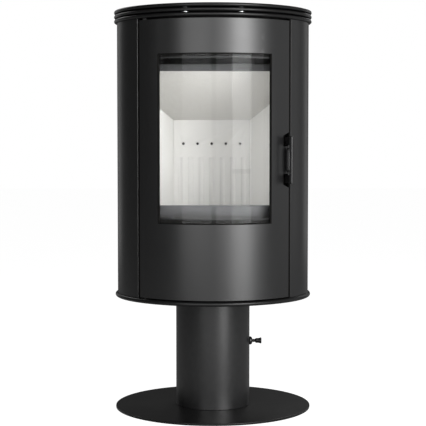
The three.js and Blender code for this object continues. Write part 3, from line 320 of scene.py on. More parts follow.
def spun_fibres() -> bpy.types.NodeTree:
    """Fine crossing fibres for braided rope and woven tape.

    Returns:
        The group's tree, with Height and Tone.
    """
    group = NodeGroup("spun_fibres", {"Fibre Scale": 900.0}, ["Height", "Tone"])
    place = group.node("ShaderNodeTexCoord").outputs["Object"]
    heights = []
    for turn in (math.radians(40), math.radians(-40)):
        lay = group.node("ShaderNodeMapping")
        lay.inputs["Rotation"].default_value = (turn, turn, turn)
        lay.inputs["Scale"].default_value = (1.0, 0.12, 1.0)
        group.join(place, lay.inputs["Vector"])
        heights.append(group.noise(group.given.outputs["Fibre Scale"], 2.0, lay.outputs["Vector"]))
    group.join(group.math("MAXIMUM", *heights), group.result.inputs["Height"])
    group.join(group.noise(60.0, 4.0, place), group.result.inputs["Tone"])
    return group.tree


# ------------------------------------------------------------------------------ finishes


class Recipe:
    """Wires one material: a Principled shader fed by shader groups."""

    def __init__(self, finish: Finish) -> None:
        """Starts a material for a finish.

        Args:
            finish: the finish that it shows.
        """
        self.material = bpy.data.materials.new(finish.value)
        self.material.use_nodes = True
        self.tree = self.material.node_tree
        self.tree.nodes.clear()
        self.output = add_node(self.tree, "ShaderNodeOutputMaterial")
        self.shader = add_node(self.tree, "ShaderNodeBsdfPrincipled")
        self.tree.links.new(self.shader.outputs[0], self.output.inputs["Surface"])

    def effect(self, tree: bpy.types.NodeTree, **values: float) -> bpy.types.Node:
        """Places a shader group with its own values.

        Args:
            tree: the group.
            values: inputs by name, with _ for a space.

        Returns:
            The group's node.
        """
        made = add_node(self.tree, "ShaderNodeGroup", node_tree=tree)
        for label, value in values.items():
            made.inputs[label.replace("_", " ").title()].default_value = value
        return made

    def blend(self, share: bpy.types.NodeSocket, first: object, second: object) -> bpy.types.NodeSocket:
        """Mixes two colours by a mask.

        Args:
            share: how much of the second colour shows.
            first: a colour or a colour socket.
            second: a colour or a colour socket.

        Returns:
            The mixed colour.
        """
        made = add_node(self.tree, "ShaderNodeMix", data_type="RGBA")
        self.tree.links.new(share, made.inputs["Factor"])
        for label, value in (("A", first), ("B", second)):
            target = next(s for s in made.inputs if s.name == label and s.type == "RGBA")
            put(self.tree, value if isinstance(value, bpy.types.NodeSocket) else (*value, 1.0), target)
        return next(s for s in made.outputs if s.type == "RGBA")

    def scaled(self, value: bpy.types.NodeSocket, low: float, high: float) -> bpy.types.NodeSocket:
        """Brings a 0 to 1 value to the span from low to high.

        Args:
            value: the socket to bring.
            low: the result where it is 0.
            high: the result where it is 1.

        Returns:
            The new value.
        """
        span = add_math(self.tree, "MULTIPLY", value, high - low)
        return add_math(self.tree, "ADD", span, low)

    def bump(self, height: bpy.types.NodeSocket, strength: float, depth: float) -> None:
        """Raises the surface by a height.

        Args:
            height: the height, from 0 to 1.
            strength: how much of it shows.
            depth: the depth in metres.
        """
        made = add_node(self.tree, "ShaderNodeBump")
        made.inputs["Strength"].default_value = strength
        made.inputs["Distance"].default_value = depth
        self.tree.links.new(height, made.inputs["Height"])
        self.tree.links.new(made.outputs["Normal"], self.shader.inputs["Normal"])

    def set(self, **values: object) -> None:
        """Sets or links inputs of the shader, with _ for a space in their names."""
        for label, value in values.items():
            put(self.tree, value, self.shader.inputs[label.replace("_", " ")])


@dataclass(frozen=True)
class Effects:
    """The shader groups that finishes share, each built once."""

    grain: bpy.types.NodeTree = field(default_factory=sprayed_grain)
    edges: bpy.types.NodeTree = field(default_factory=rubbed_edges)
    dust: bpy.types.NodeTree = field(default_factory=settled_dust)
    flakes: bpy.types.NodeTree = field(default_factory=pressed_flakes)
    lines: bpy.types.NodeTree = field(default_factory=drawn_lines)
    fibres: bpy.types.NodeTree = field(default_factory=spun_fibres)


@dataclass(frozen=True)
class Look:
    """How a finish looks. Each kind wires its own shader."""

    finish: Finish

    def build(self, effects: Effects) -> bpy.types.Material:
        """Makes the material.

        Args:
            effects: the shared shader groups.

        Returns:
            The material.
        """
        mix = Recipe(self.finish)
        self.wire(mix, effects)
        return mix.material

    def wire(self, mix: Recipe, effects: Effects) -> None:
        """Wires the shader; each kind has its own."""
        raise NotImplementedError


@dataclass(frozen=True)
class Paint(Look):
    """Heat-resistant sprayed paint."""

    colour: Colour
    deeper: Colour
    worn: Colour = (0.11, 0.11, 0.112)
    dust: Colour = (0.16, 0.155, 0.145)
    roughness: tuple[float, float] = (0.3, 0.37)
    grain_scale: float = 1100.0
    grain_depth: float = 0.00006
    wear: float = 0.35
    dustiness: float = 0.08
    specular: float = 0.5

    def wire(self, mix: Recipe, effects: Effects) -> None:
        """Wires the shader."""
        grain = mix.effect(effects.grain, grain_scale=self.grain_scale)
        tone = mix.blend(grain.outputs["Tone"], self.deeper, self.colour)
        edge = add_math(mix.tree, "MULTIPLY", mix.effect(effects.edges).outputs["Mask"], self.wear)
        rubbed = mix.blend(edge, tone, self.worn)
        lying = add_math(mix.tree, "MULTIPLY", mix.effect(effects.dust).outputs["Mask"], self.dustiness)
        dusty = mix.blend(lying, rubbed, self.dust)
        mix.set(Base_Color=dusty, Roughness=mix.scaled(grain.outputs["Polish"], *self.roughness))
        mix.set(Specular_IOR_Level=self.specular)
        mix.bump(grain.outputs["Height"], 0.35, self.grain_depth)


@dataclass(frozen=True)
class Board(Look):
    """Cast brick or pressed board with flakes, pores and faint stains."""

    colour: Colour
    darker: Colour
    stain: Colour
    stain_share: float = 0.25
    flake_scale: float = 260.0
    depth: float = 0.0004
    roughness: tuple[float, float] = (0.86, 0.97)

    def wire(self, mix: Recipe, effects: Effects) -> None:
        """Wires the shader."""
        flakes = mix.effect(effects.flakes, flake_scale=self.flake_scale)
        tone = mix.blend(flakes.outputs["Tone"], self.darker, self.colour)
        share = add_math(mix.tree, "MULTIPLY", flakes.outputs["Stain"], self.stain_share)
        stained = mix.blend(share, tone, self.stain)
        mix.set(Base_Color=stained, Roughness=mix.scaled(flakes.outputs["Tone"], *self.roughness))
        mix.set(Specular_IOR_Level=0.25)
        mix.bump(flakes.outputs["Height"], 0.5, self.depth)


@dataclass(frozen=True)
class BareMetal(Look):
    """Sheet, plated or cast metal without paint."""

    colour: Colour
    darker: Colour
    roughness: tuple[float, float] = (0.3, 0.45)
    metallic: float = 1.0
    line_scale: float = 1400.0
    depth: float = 0.00004

    def wire(self, mix: Recipe, effects: Effects) -> None:
        """Wires the shader."""
        lines = mix.effect(effects.lines, line_scale=self.line_scale)
        tone = mix.blend(lines.outputs["Tone"], self.darker, self.colour)
        edge = mix.effect(effects.edges).outputs["Mask"]
        mix.set(Base_Color=mix.blend(edge, tone, self.colour))
        mix.set(Roughness=mix.scaled(lines.outputs["Height"], *self.roughness), Metallic=self.metallic)
        mix.bump(lines.outputs["Height"], 0.3, self.depth)


@dataclass(frozen=True)
class Fibre(Look):
    """Braided or woven glass fibre."""

    colour: Colour
    darker: Colour

    def wire(self, mix: Recipe, effects: Effects) -> None:
        """Wires the shader."""
        fibres = mix.effect(effects.fibres)
        tone = mix.blend(fibres.outputs["Height"], self.darker, self.colour)
        mix.set(Base_Color=tone, Roughness=mix.scaled(fibres.outputs["Tone"], 0.85, 1.0))
        mix.set(Specular_IOR_Level=0.1)
        mix.bump(fibres.outputs["Height"], 0.6, 0.0003)


@dataclass(frozen=True)
class ClearGlass(Look):
    """Clear heat-resistant glass that lets the lamps' light straight through."""

    colour: Colour = (0.99, 0.995, 0.992)
    roughness: tuple[float, float] = (0.004, 0.02)
    ior: float = 1.2

    def wire(self, mix: Recipe, effects: Effects) -> None:
        """Wires the shader."""
        grain = mix.effect(effects.grain, grain_scale=60.0, drift_scale=5.0)
        mix.set(Base_Color=(*self.colour, 1.0), IOR=self.ior, Transmission_Weight=1.0)
        mix.set(Roughness=mix.scaled(grain.outputs["Polish"], *self.roughness))
        clear = add_node(mix.tree, "ShaderNodeBsdfTransparent")
        clear.inputs["Color"].default_value = (*self.colour, 1.0)
        rays = add_node(mix.tree, "ShaderNodeLightPath")
        both = add_node(mix.tree, "ShaderNodeMixShader")
        mix.tree.links.new(rays.outputs["Is Shadow Ray"], both.inputs[0])
        mix.tree.links.new(mix.shader.outputs[0], both.inputs[1])
        mix.tree.links.new(clear.outputs[0], both.inputs[2])
        mix.tree.links.new(both.outputs[0], mix.output.inputs["Surface"])


class Palette:
    """Every finish of the stove, made once."""

    RECIPES = (
        Paint(
            Finish.STOVE_PAINT, (0.0095, 0.0097, 0.0101), (0.0078, 0.0079, 0.0082), specular=0.9,
        ),
        Paint(
            Finish.PLATE_PAINT, (0.0062, 0.0062, 0.0065), (0.005, 0.005, 0.0052),
            roughness=(0.3, 0.38), wear=0.25, dustiness=0.05,
        ),
        Paint(
            Finish.INNER_STEEL, (0.03, 0.029, 0.028), (0.02, 0.0195, 0.019),
            roughness=(0.55, 0.7), wear=0.5, dustiness=0.3,
        ),
        Paint(
            Finish.HANDLE_BLACK, (0.008, 0.008, 0.0085), (0.006, 0.006, 0.0065),
            roughness=(0.26, 0.34), wear=0.2, dustiness=0.0,
        ),
        Board(
            Finish.FIREBRICK, (0.72, 0.714, 0.7), (0.67, 0.663, 0.648), (0.57, 0.552, 0.52),
            flake_scale=420.0,
        ),
        Board(
            Finish.BAFFLE_BOARD, (0.72, 0.71, 0.685), (0.66, 0.648, 0.62), (0.55, 0.53, 0.49),
            flake_scale=210.0, depth=0.0007,
        ),
        # Bare steel of the log guard; the same finish also paints the shade on the baffle's front edge and
        # the highlight on the glass frame's edges.
        BareMetal(Finish.GUARD_STEEL, (0.1, 0.1, 0.103), (0.065, 0.065, 0.068), roughness=(0.42, 0.56)),
        BareMetal(
            Finish.CAST_IRON, (0.06, 0.058, 0.055), (0.03, 0.029, 0.028),
            roughness=(0.65, 0.85), metallic=0.4, depth=0.0003, line_scale=500.0,
        ),
        BareMetal(Finish.ZINC, (0.62, 0.63, 0.64), (0.48, 0.49, 0.5), roughness=(0.22, 0.34)),
        # Near-black rope; the same finish also dresses the strips, gasket and frame that paint shade into the
        # door's gaps and recesses.
        Fibre(Finish.SEAL_ROPE, (0.016, 0.0156, 0.015), (0.004, 0.004, 0.0038)),
        ClearGlass(Finish.STOVE_GLASS),
    )

    def __init__(self) -> None:
        """Builds the shared effects and one material for each finish."""
        effects = Effects()
        self.materials = {recipe.finish: recipe.build(effects) for recipe in self.RECIPES}

    def dress(self, piece: Shape, finish: Finish) -> None:
        """Gives a piece one finish all over.

        Args:
            piece: the piece.
            finish: its finish.
        """
        piece.data.materials.clear()
        piece.data.materials.append(self.materials[finish])

    def fit(self, piece: Shape, body: Body, finish: Finish, *nodes: str) -> Shape:
        """Dresses a new piece and lets it ride on its body.

        Args:
            piece: the piece, in its place.
            body: the body it moves with.
            finish: its finish.
            nodes: the plain nodes that it stands for.

        Returns:
            The piece.
        """
        self.dress(piece, finish)
        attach(piece, body.value)
        if nodes:
            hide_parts(*nodes)
        log.info("%s: %s on the %s", piece.name, finish.value, body.value)
        return piece


# ------------------------------------------------------------------------------ shape helpers


def at(bearing: float, radius: float, height: float = 0.0) -> Vector:
    """The point at a bearing, a radius and a height."""
    a = math.radians(bearing)
    return Vector((radius * math.sin(a), -radius * math.cos(a), height))


def angle_of(length: float, radius: float) -> float:
    """The angle in degrees that a length takes on a circle."""
    return math.degrees(length / radius)


def middle_of(node: str) -> Vector:
    """The middle of a node's box."""
    low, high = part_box(node)
    return (low + high) / 2


def radius_of(node: str) -> float:
    """The radius of a node that is round in plan, from its box."""
    low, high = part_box(node)
    return (high.x - low.x) / 2


def body_radius() -> float:
    """The outside radius of the casing, from its two side panels."""
    return (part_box("casing_right")[1].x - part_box("casing_left")[0].x) / 2


def half_angle_of(node: str) -> float:
    """Half of the angle in degrees that a curved node in front of the axis takes."""
    low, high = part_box(node)
    return math.degrees(math.asin(high.x / -low.y))


def everywhere(bearing: float, radius: float, height: float) -> bool:
    """Says that every cell is solid."""
    return True


def upright(spot: Vector, height: float) -> Matrix:
    """Stands a turned piece on a height, over a spot in plan."""
    return Matrix.Translation((spot.x, spot.y, height))


def ticks(marks: Sequence[float], pitch: float) -> list[float]:
    """Sorted marks with even steps between them.

    Args:
        marks: the values that must be there.
        pitch: the widest step.

    Returns:
        The values in order.
    """
    ordered = sorted(set(marks))
    result: list[float] = []
    for low, high in zip(ordered, ordered[1:]):
        count = max(1, math.ceil((high - low) / pitch - 1e-6))
        result += [low + (high - low) * i / count for i in range(count)]
    return result + [ordered[-1]]


def filleted(corners: Profile, radius: float, steps: int = 3) -> list[tuple[float, float]]:
    """A closed outline with every corner rounded.

    Args:
        corners: the outline's corners.
        radius: the rounding, held to half of the shorter side next to the corner.
        steps: faces on each rounding.

    Returns:
        The rounded outline.
    """
    points = [Vector(c) for c in corners]
    result: list[tuple[float, float]] = []
    for i, corner in enumerate(points):
        before = points[i - 1] - corner
        after = points[(i + 1) % len(points)] - corner
        half = before.angle(after) / 2
        if half > math.radians(85):
            result.append(tuple(corner))
            continue
        reach = min(radius / math.tan(half), before.length * 0.48, after.length * 0.48)
        start = corner + before.normalized() * reach
        end = corner + after.normalized() * reach
        centre = corner + (before.normalized() + after.normalized()).normalized() * (reach / math.cos(half))
        for k in range(steps + 1):
            arm = (start - centre).slerp(end - centre, k / steps) * (start - centre).length
            result.append(tuple(centre + arm))
    return result


def new_piece(name: str, shell: bmesh.types.BMesh) -> Shape:
    """Turns a bmesh into an object with smooth faces that look out.

    Args:
        name: the piece's name.
        shell: the bmesh, which is freed.

    Returns:
        The object.
    """
    bmesh.ops.recalc_face_normals(shell, faces=shell.faces)
    mesh = bpy.data.meshes.new(name)
    shell.to_mesh(mesh)
    shell.free()
    mesh.polygons.foreach_set("use_smooth", [True] * len(mesh.polygons))
    piece = bpy.data.objects.new(name, mesh)
    bpy.context.scene.collection.objects.link(piece)
    return piece


def soften(piece: Shape, width: float, segments: int = 2) -> Shape:
    """Rounds a piece's sharp edges and keeps its broad faces flat.

    Args:
        piece: the piece.
        width: the rounding's width.
        segments: faces across the rounding.

    Returns:
        The piece.
    """
    edge = piece.modifiers.new("rounded edges", "BEVEL")
    edge.width = width
    edge.segments = segments
    edge.limit_method = "ANGLE"
    edge.angle_limit = SHARP_EDGE
    edge.harden_normals = True
    edge.use_clamp_overlap = True
    return piece


def even_shading(piece: Shape) -> Shape:
    """Keeps broad faces flat beside small roundings."""
    normals = piece.modifiers.new("even shading", "WEIGHTED_NORMAL")
    normals.mode = "FACE_AREA"
    normals.weight = 60
    normals.keep_sharp = True
    return piece


def lathe(
    name: str, profile: Profile, segments: int = 144, place: Optional[Matrix] = None, closed: bool = True
) -> Shape:
    """Turns a profile round an axis.

    Args:
        name: the piece's name.
        profile: points of (radius, distance along the axis).
        segments: faces round the axis.
        place: where the axis goes, +Z being the axis before.
        closed: whether the last point joins the first.

    Returns:
        The turned piece.
    """
    shell = bmesh.new()
    rings = []
    for radius, along in profile:
        if radius < 1e-7:
            rings.append([shell.verts.new((0, 0, along))] * segments)
            continue
        angles = (2 * math.pi * i / segments for i in range(segments))
        rings.append([shell.verts.new((radius * math.cos(a), radius * math.sin(a), along)) for a in angles])
    pairs = list(zip(rings, rings[1:])) + ([(rings[-1], rings[0])] if closed else [])
    for first, second in pairs:
        for i in range(segments):
            j = (i + 1) % segments
            corners = list(dict.fromkeys([first[i], first[j], second[j], second[i]]))
            if len(corners) > 2:
                shell.faces.new(corners)
    if place is not None:
        bmesh.ops.transform(shell, matrix=place, verts=shell.verts)
    return even_shading(new_piece(name, shell))


def curved_solid(
    name: str,
    bearings: Sequence[float],
    radii: Sequence[float],
    heights: Sequence[float],
    filled: Callable[[float, float, float], bool],
    shift: Optional[Callable[[float, float], float]] = None,
) -> Shape:
    """A solid of cells on a grid that is bent round the stove's axis.

    Args:
        name: the piece's name.
        bearings: the grid's bearings, in order.
        radii: the grid's radii, in order.
        heights: the grid's heights, in order.
        filled: says from a cell's middle (bearing, radius, height) whether it is solid.
        shift: gives a corner's height from its bearing and height.

    Returns:
        The solid.
    """
    shell = bmesh.new()
    corners: dict[tuple[int, int, int], bmesh.types.BMVert] = {}

    def corner(i: int, j: int, k: int) -> bmesh.types.BMVert:
        """The grid's corner as a vertex, made when it is first needed."""
        if (i, j, k) not in corners:
            height = shift(bearings[i], heights[k]) if shift else heights[k]
            corners[i, j, k] = shell.verts.new(at(bearings[i], radii[j], height))
        return corners[i, j, k]

    def middle(values: Sequence[float], i: int) -> float:
        """The middle of one step of the grid."""
        return (values[i] + values[i + 1]) / 2

    spans = (range(len(bearings) - 1), range(len(radii) - 1), range(len(heights) - 1))
    solid = {
        (i, j, k)
        for i in spans[0]
        for j in spans[1]
        for k in spans[2]
        if filled(middle(bearings, i), middle(radii, j), middle(heights, k))
    }
    for cell in sorted(solid):
        for axis in range(3):
            for side in (0, 1):
                beside = list(cell)
                beside[axis] += 1 if side else -1
                if tuple(beside) in solid:
                    continue
                base = list(cell)
                base[axis] += side
                u, v = (a for a in range(3) if a != axis)
                quad = []
                for du, dv in ((0, 0), (1, 0), (1, 1), (0, 1)):
                    place = list(base)
                    place[u] += du
                    place[v] += dv
                    quad.append(corner(*place))
                shell.faces.new(quad)
    bmesh.ops.remove_doubles(shell, verts=shell.verts, dist=1e-6)
    bmesh.ops.dissolve_degenerate(shell, edges=shell.edges, dist=1e-6)
    return new_piece(name, shell)


def upright_box(name: str, first: Sequence[float], last: Sequence[float]) -> Shape:
    """A box between two corners.

    Args:
        name: the piece's name.
        first: the corner with the lowest x, y and z.
        last: the corner with the highest.

    Returns:
        The box.
    """
    shell = bmesh.new()
    outline = ((first[0], first[1]), (last[0], first[1]), (last[0], last[1]), (first[0], last[1]))
    rows = [[shell.verts.new((x, y, z)) for x, y in outline] for z in (first[2], last[2])]
    for row in rows:
        shell.faces.new(row)
    for i in range(len(outline)):
        j = (i + 1) % len(outline)
        shell.faces.new([rows[0][i], rows[0][j], rows[1][j], rows[1][i]])
    return new_piece(name, shell)


def finer_copy(name: str, node: str, width: float, segments: int = 2) -> Shape:
    """The frame's node again, with its flat faces cleaned and its edges rounded.

    Args:
        name: the piece's name.
        node: the node to copy.
        width: the edges' rounding.
        segments: faces across the rounding.

    Returns:
        The copy.
    """
    shell = bmesh.new()
    shell.from_mesh(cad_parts[node].data)
    bmesh.ops.remove_doubles(shell, verts=shell.verts, dist=1e-5)
    bmesh.ops.dissolve_limit(
        shell, angle_limit=math.radians(1.0), verts=shell.verts, edges=shell.edges,
        use_dissolve_boundaries=False,
    )
    return soften(new_piece(name, shell), width, segments)


def settled(piece: Shape) -> Shape:
    """Applies a piece's modifiers to its mesh."""
    bpy.context.view_layer.update()
    evaluated = piece.evaluated_get(bpy.context.evaluated_depsgraph_get())
    mesh = bpy.data.meshes.new_from_object(evaluated)
    piece.modifiers.clear()
    piece.data = mesh
    return piece


def drilled(piece: Shape, drills: Sequence[Shape]) -> Shape:
    """Cuts drills out of a piece and removes them.

    Args:
        piece: the piece.
        drills: solids to cut away.

    Returns:
        The piece.
    """
    for drill in drills:
        hole = piece.modifiers.new("hole", "BOOLEAN")
        hole.object = drill
        hole.operation = "DIFFERENCE"
        hole.solver = "EXACT"
    settled(piece)
    for drill in drills:
        bpy.data.objects.remove(drill)
    return piece


def rod(name: str, radius: float, start: Vector, end: Vector, segments: int = 48) -> Shape:
    """A plain round rod between two points, used for drilling."""
    along = end - start
    place = Matrix.Translation(start) @ along.to_track_quat("Z", "Y").to_matrix().to_4x4()
    length = along.length
    return lathe(name, [(0, 0), (radius, 0), (radius, length), (0, length)], segments, place, closed=False)


def round_wall_shading(piece: Shape) -> Shape:
    """Shades faces that look along their radius as truly round, and the others as flat.

    Args:
        piece: the piece, which curves round the stove's axis.

    Returns:
        The piece.
    """
    mesh = piece.data
    normals: list[Vector] = [Vector((0, 0, 1))] * len(mesh.loops)
    for face in mesh.polygons:
        outward = Vector((face.center.x, face.center.y, 0)).normalized()
        along = face.normal.dot(outward)
        for i in face.loop_indices:
            spot = mesh.vertices[mesh.loops[i].vertex_index].co
            radial = Vector((spot.x, spot.y, 0)).normalized()
            normals[i] = radial * math.copysign(1, along) if abs(along) > ROUND_FACE else face.normal
    mesh.normals_split_custom_set([tuple(n) for n in normals])
    return piece


def rounded_wall(piece: Shape, width: float) -> Shape:
    """Rounds a curved sheet's edges and shades its broad faces as truly round."""
    return round_wall_shading(settled(soften(piece, width)))


@dataclass(frozen=True)
class Screw:
    """A button-head screw with a hexagon socket."""

    head: float = 0.0042
    height: float = 0.0022
    socket: float = 0.0019
    socket_depth: float = 0.0013
    sides: int = 24

    def add_to(self, shell: bmesh.types.BMesh, spot: Vector, outward: Vector) -> None:
        """Adds one screw to a bmesh.

        Args:
            shell: the bmesh.
            spot: where the head's underside meets the surface.
            outward: the way that the head looks.
        """
        place = Matrix.Translation(spot) @ outward.to_track_quat("Z", "Y").to_matrix().to_4x4()
        rings = [
            (self.head, 0.0, False), (self.head, self.height * 0.25, False),
            (self.head * 0.86, self.height * 0.72, False), (self.head * 0.62, self.height, False),
            (self.socket * 1.12, self.height, True), (self.socket, self.height * 0.93, True),
            (self.socket * 0.97, self.height - self.socket_depth, True),
        ]
        rows = []
        for radius, along, hexagon in rings:
            row = []
            for i in range(self.sides):
                a = 2 * math.pi * i / self.sides
                reach = radius
                if hexagon:
                    reach /= math.cos((a + math.pi / 6) % (math.pi / 3) - math.pi / 6)
                row.append(shell.verts.new(place @ Vector((reach * math.cos(a), reach * math.sin(a), along))))
            rows.append(row)
        for first, second in zip(rows, rows[1:]):
            for i in range(self.sides):
                j = (i + 1) % self.sides
                shell.faces.new([first[i], first[j], second[j], second[i]])
        shell.faces.new(list(reversed(rows[0])))
        shell.faces.new(rows[-1])

    def row(self, name: str, places: Sequence[tuple[Vector, Vector]]) -> Shape:
        """A set of screws as one piece.

        Args:
            name: the piece's name.
            places: each screw's spot and the way it looks.

        Returns:
            The piece.
        """
        shell = bmesh.new()
        for spot, outward in places:
            self.add_to(shell, spot, outward)
        piece = new_piece(name, shell)
        piece.data.set_sharp_from_angle(angle=math.radians(38))
        return piece


# ------------------------------------------------------------------------------ pedestal


@dataclass
class Pedestal:
    """The floor disc, the column and the spigot for outside air."""

    palette: Palette
    wall: float = 0.003
    column_edge: float = 0.0006
    disc_edge: float = 0.0014
    inlet_height: float = 0.088
    inlet_wall: float = 0.0025
    inlet_play: float = 0.0003
    rod_hole: float = 0.004
    drill_reach: float = 0.02
    bead_highlight: float = 0.0016
    bead_back: float = 0.011

    def build(self) -> None:
        """Makes the pedestal's pieces."""
        self.floor_disc()
        self.column()
        self.spigot()

    def floor_disc(self) -> None:
        """The flat disc that stands on the floor."""
        low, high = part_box("base_plate")
        radius = radius_of("base_plate")
        flat = radius * 0.97
        rim = filleted([(flat, low.z), (radius, low.z), (radius, high.z), (flat, high.z)], self.disc_edge, 4)
        profile = [(0, low.z), (flat / 2, low.z), *rim[5:-5], (flat / 2, high.z), (0, high.z)]
        disc = lathe("floor_disc", profile, 240, closed=False)
        self.palette.fit(disc, Body.STOVE, Finish.PLATE_PAINT, "base_plate")

    def column(self) -> None:
        """The tube that carries the body, with holes for the air rod and the spigot."""
        low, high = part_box("column_tube")
        radius = radius_of("column_tube")
        inner = radius - self.wall
        corners = [(inner, low.z), (radius, low.z), (radius, high.z), (inner, high.z)]
        tube = lathe("column", filleted(corners, self.column_edge, 2), 160)
        rod_height = middle_of("air_rod").z
        rod_ends = [Vector((radius + s * self.drill_reach, 0, rod_height)) for s in (-1, 1)]
        inlet_ends = [Vector((0, y, self.inlet_height)) for y in (0, radius * 2)]
        inlet_hole = radius_of("air_inlet_spigot") + self.inlet_play
        drills = [
            rod("drill_rod", self.rod_hole, *rod_ends),
            rod("drill_inlet", inlet_hole, *inlet_ends, 96),
        ]
        tube = round_wall_shading(drilled(tube, drills))
        self.palette.fit(tube, Body.STOVE, Finish.STOVE_PAINT, "column_tube")

    def spigot(self) -> None:
        """The short pipe behind the column, with a rolled bead that holds a hose."""
        low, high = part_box("air_inlet_spigot")
        outer = radius_of("air_inlet_spigot")
        inner = outer - self.inlet_wall
        end = high.y
        bead_at = end - self.bead_back
        swell = [
            (outer - 0.0002 + self.bead_highlight * math.sin(math.pi * i / 8), bead_at - 0.004 + 0.001 * i)
            for i in range(9)
        ]
        profile = [
            (inner, low.y), (outer - 0.0002, low.y), *swell, (outer - 0.0004, end - 0.0012),
            (outer - 0.0009, end), (inner + 0.0006, end), (inner, end - 0.0006),
        ]
        place = Matrix.Translation((0, 0, self.inlet_height)) @ Matrix.Rotation(-math.pi / 2, 4, "X")
        pipe = lathe("air_inlet", profile, 96, place)
        self.palette.fit(pipe, Body.STOVE, Finish.STOVE_PAINT, "air_inlet_spigot")


@dataclass
class AirControl:
    """The pull rod in the column's side, with its rosette and knob."""

    palette: Palette
    rod_radius: float = 0.0035
    bore: float = 0.004
    collar_radius: float = 0.0045
    collar_length: float = 0.0042
    segments: int = 48

    KNOB_OUTLINE = (
        (0.44, 0.0), (0.5, 0.02), (0.66, 0.14), (0.76, 0.22), (0.8, 0.3), (0.8, 0.4), (0.77, 0.47),
        (0.78, 0.54), (0.84, 0.66), (0.92, 0.8), (0.98, 0.9), (1.0, 0.95), (0.97, 0.985), (0.9, 1.0),
        (0.6, 1.0), (0.54, 0.985),
    )

    def build(self) -> None:
        """Makes the rosette, the rod and the knob."""
        self.rosette()
        self.pull_rod()
        self.knob()

    def along_x(self) -> Matrix:
        """Lays a turned piece along +X at the rod's height."""
        height = middle_of("air_knob").z
        return Matrix.Translation((0, 0, height)) @ Matrix.Rotation(math.pi / 2, 4, "Y")

    def rosette(self) -> None:
        """The domed rose round the rod."""
        low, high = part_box("rod_rosette")
        radius = (high.z - low.z) / 2
        length = high.x - low.x
        dome = [
            (self.bore + (radius - self.bore) * math.cos(a), low.x + length * (0.22 + 0.78 * math.sin(a)))
            for a in (math.radians(7.5 * i) for i in range(12))
        ]
        profile = [(self.bore, low.x), (radius, low.x), *dome, (self.bore, high.x - 0.0002)]
        rose = lathe("air_rod_rose", profile, self.segments, self.along_x())
        self.palette.fit(rose, Body.STOVE, Finish.STOVE_PAINT, "rod_rosette")

    def pull_rod(self) -> None:
        """The rod, with a small stop collar before the knob."""
        low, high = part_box("air_rod")
        stop = high.x - 0.0005 - self.collar_length
        half = self.collar_length / 2
        collar = [
            (
                self.rod_radius + (self.collar_radius - self.rod_radius) * math.sin(math.pi * i / 8),
                stop + half * (1 - math.cos(math.pi * i / 8)),
            )
            for i in range(9)
        ]
        profile = [
            (0, low.x), (self.rod_radius - 0.0005, low.x), (self.rod_radius, low.x + 0.0005),
            *collar, (self.rod_radius, high.x), (0, high.x),
        ]
        bar = lathe("air_pull_rod", profile, self.segments, self.along_x(), closed=False)
        self.palette.fit(bar, Body.AIR_CONTROL, Finish.INNER_STEEL, "air_rod")

    def knob(self) -> None:
        """The turned grip: a waist, a belly and a flared end."""
        low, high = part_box("air_knob")
        radius = (high.z - low.z) / 2
        length = high.x - low.x
        outline = [(radius * r, low.x + length * s) for r, s in self.KNOB_OUTLINE]
        profile = [(0, low.x), *outline, (0, outline[-1][1])]
        grip = lathe("air_knob_grip", profile, self.segments, self.along_x(), closed=False)
        self.palette.fit(grip, Body.AIR_CONTROL, Finish.HANDLE_BLACK, "air_knob")


# ------------------------------------------------------------------------------ casing


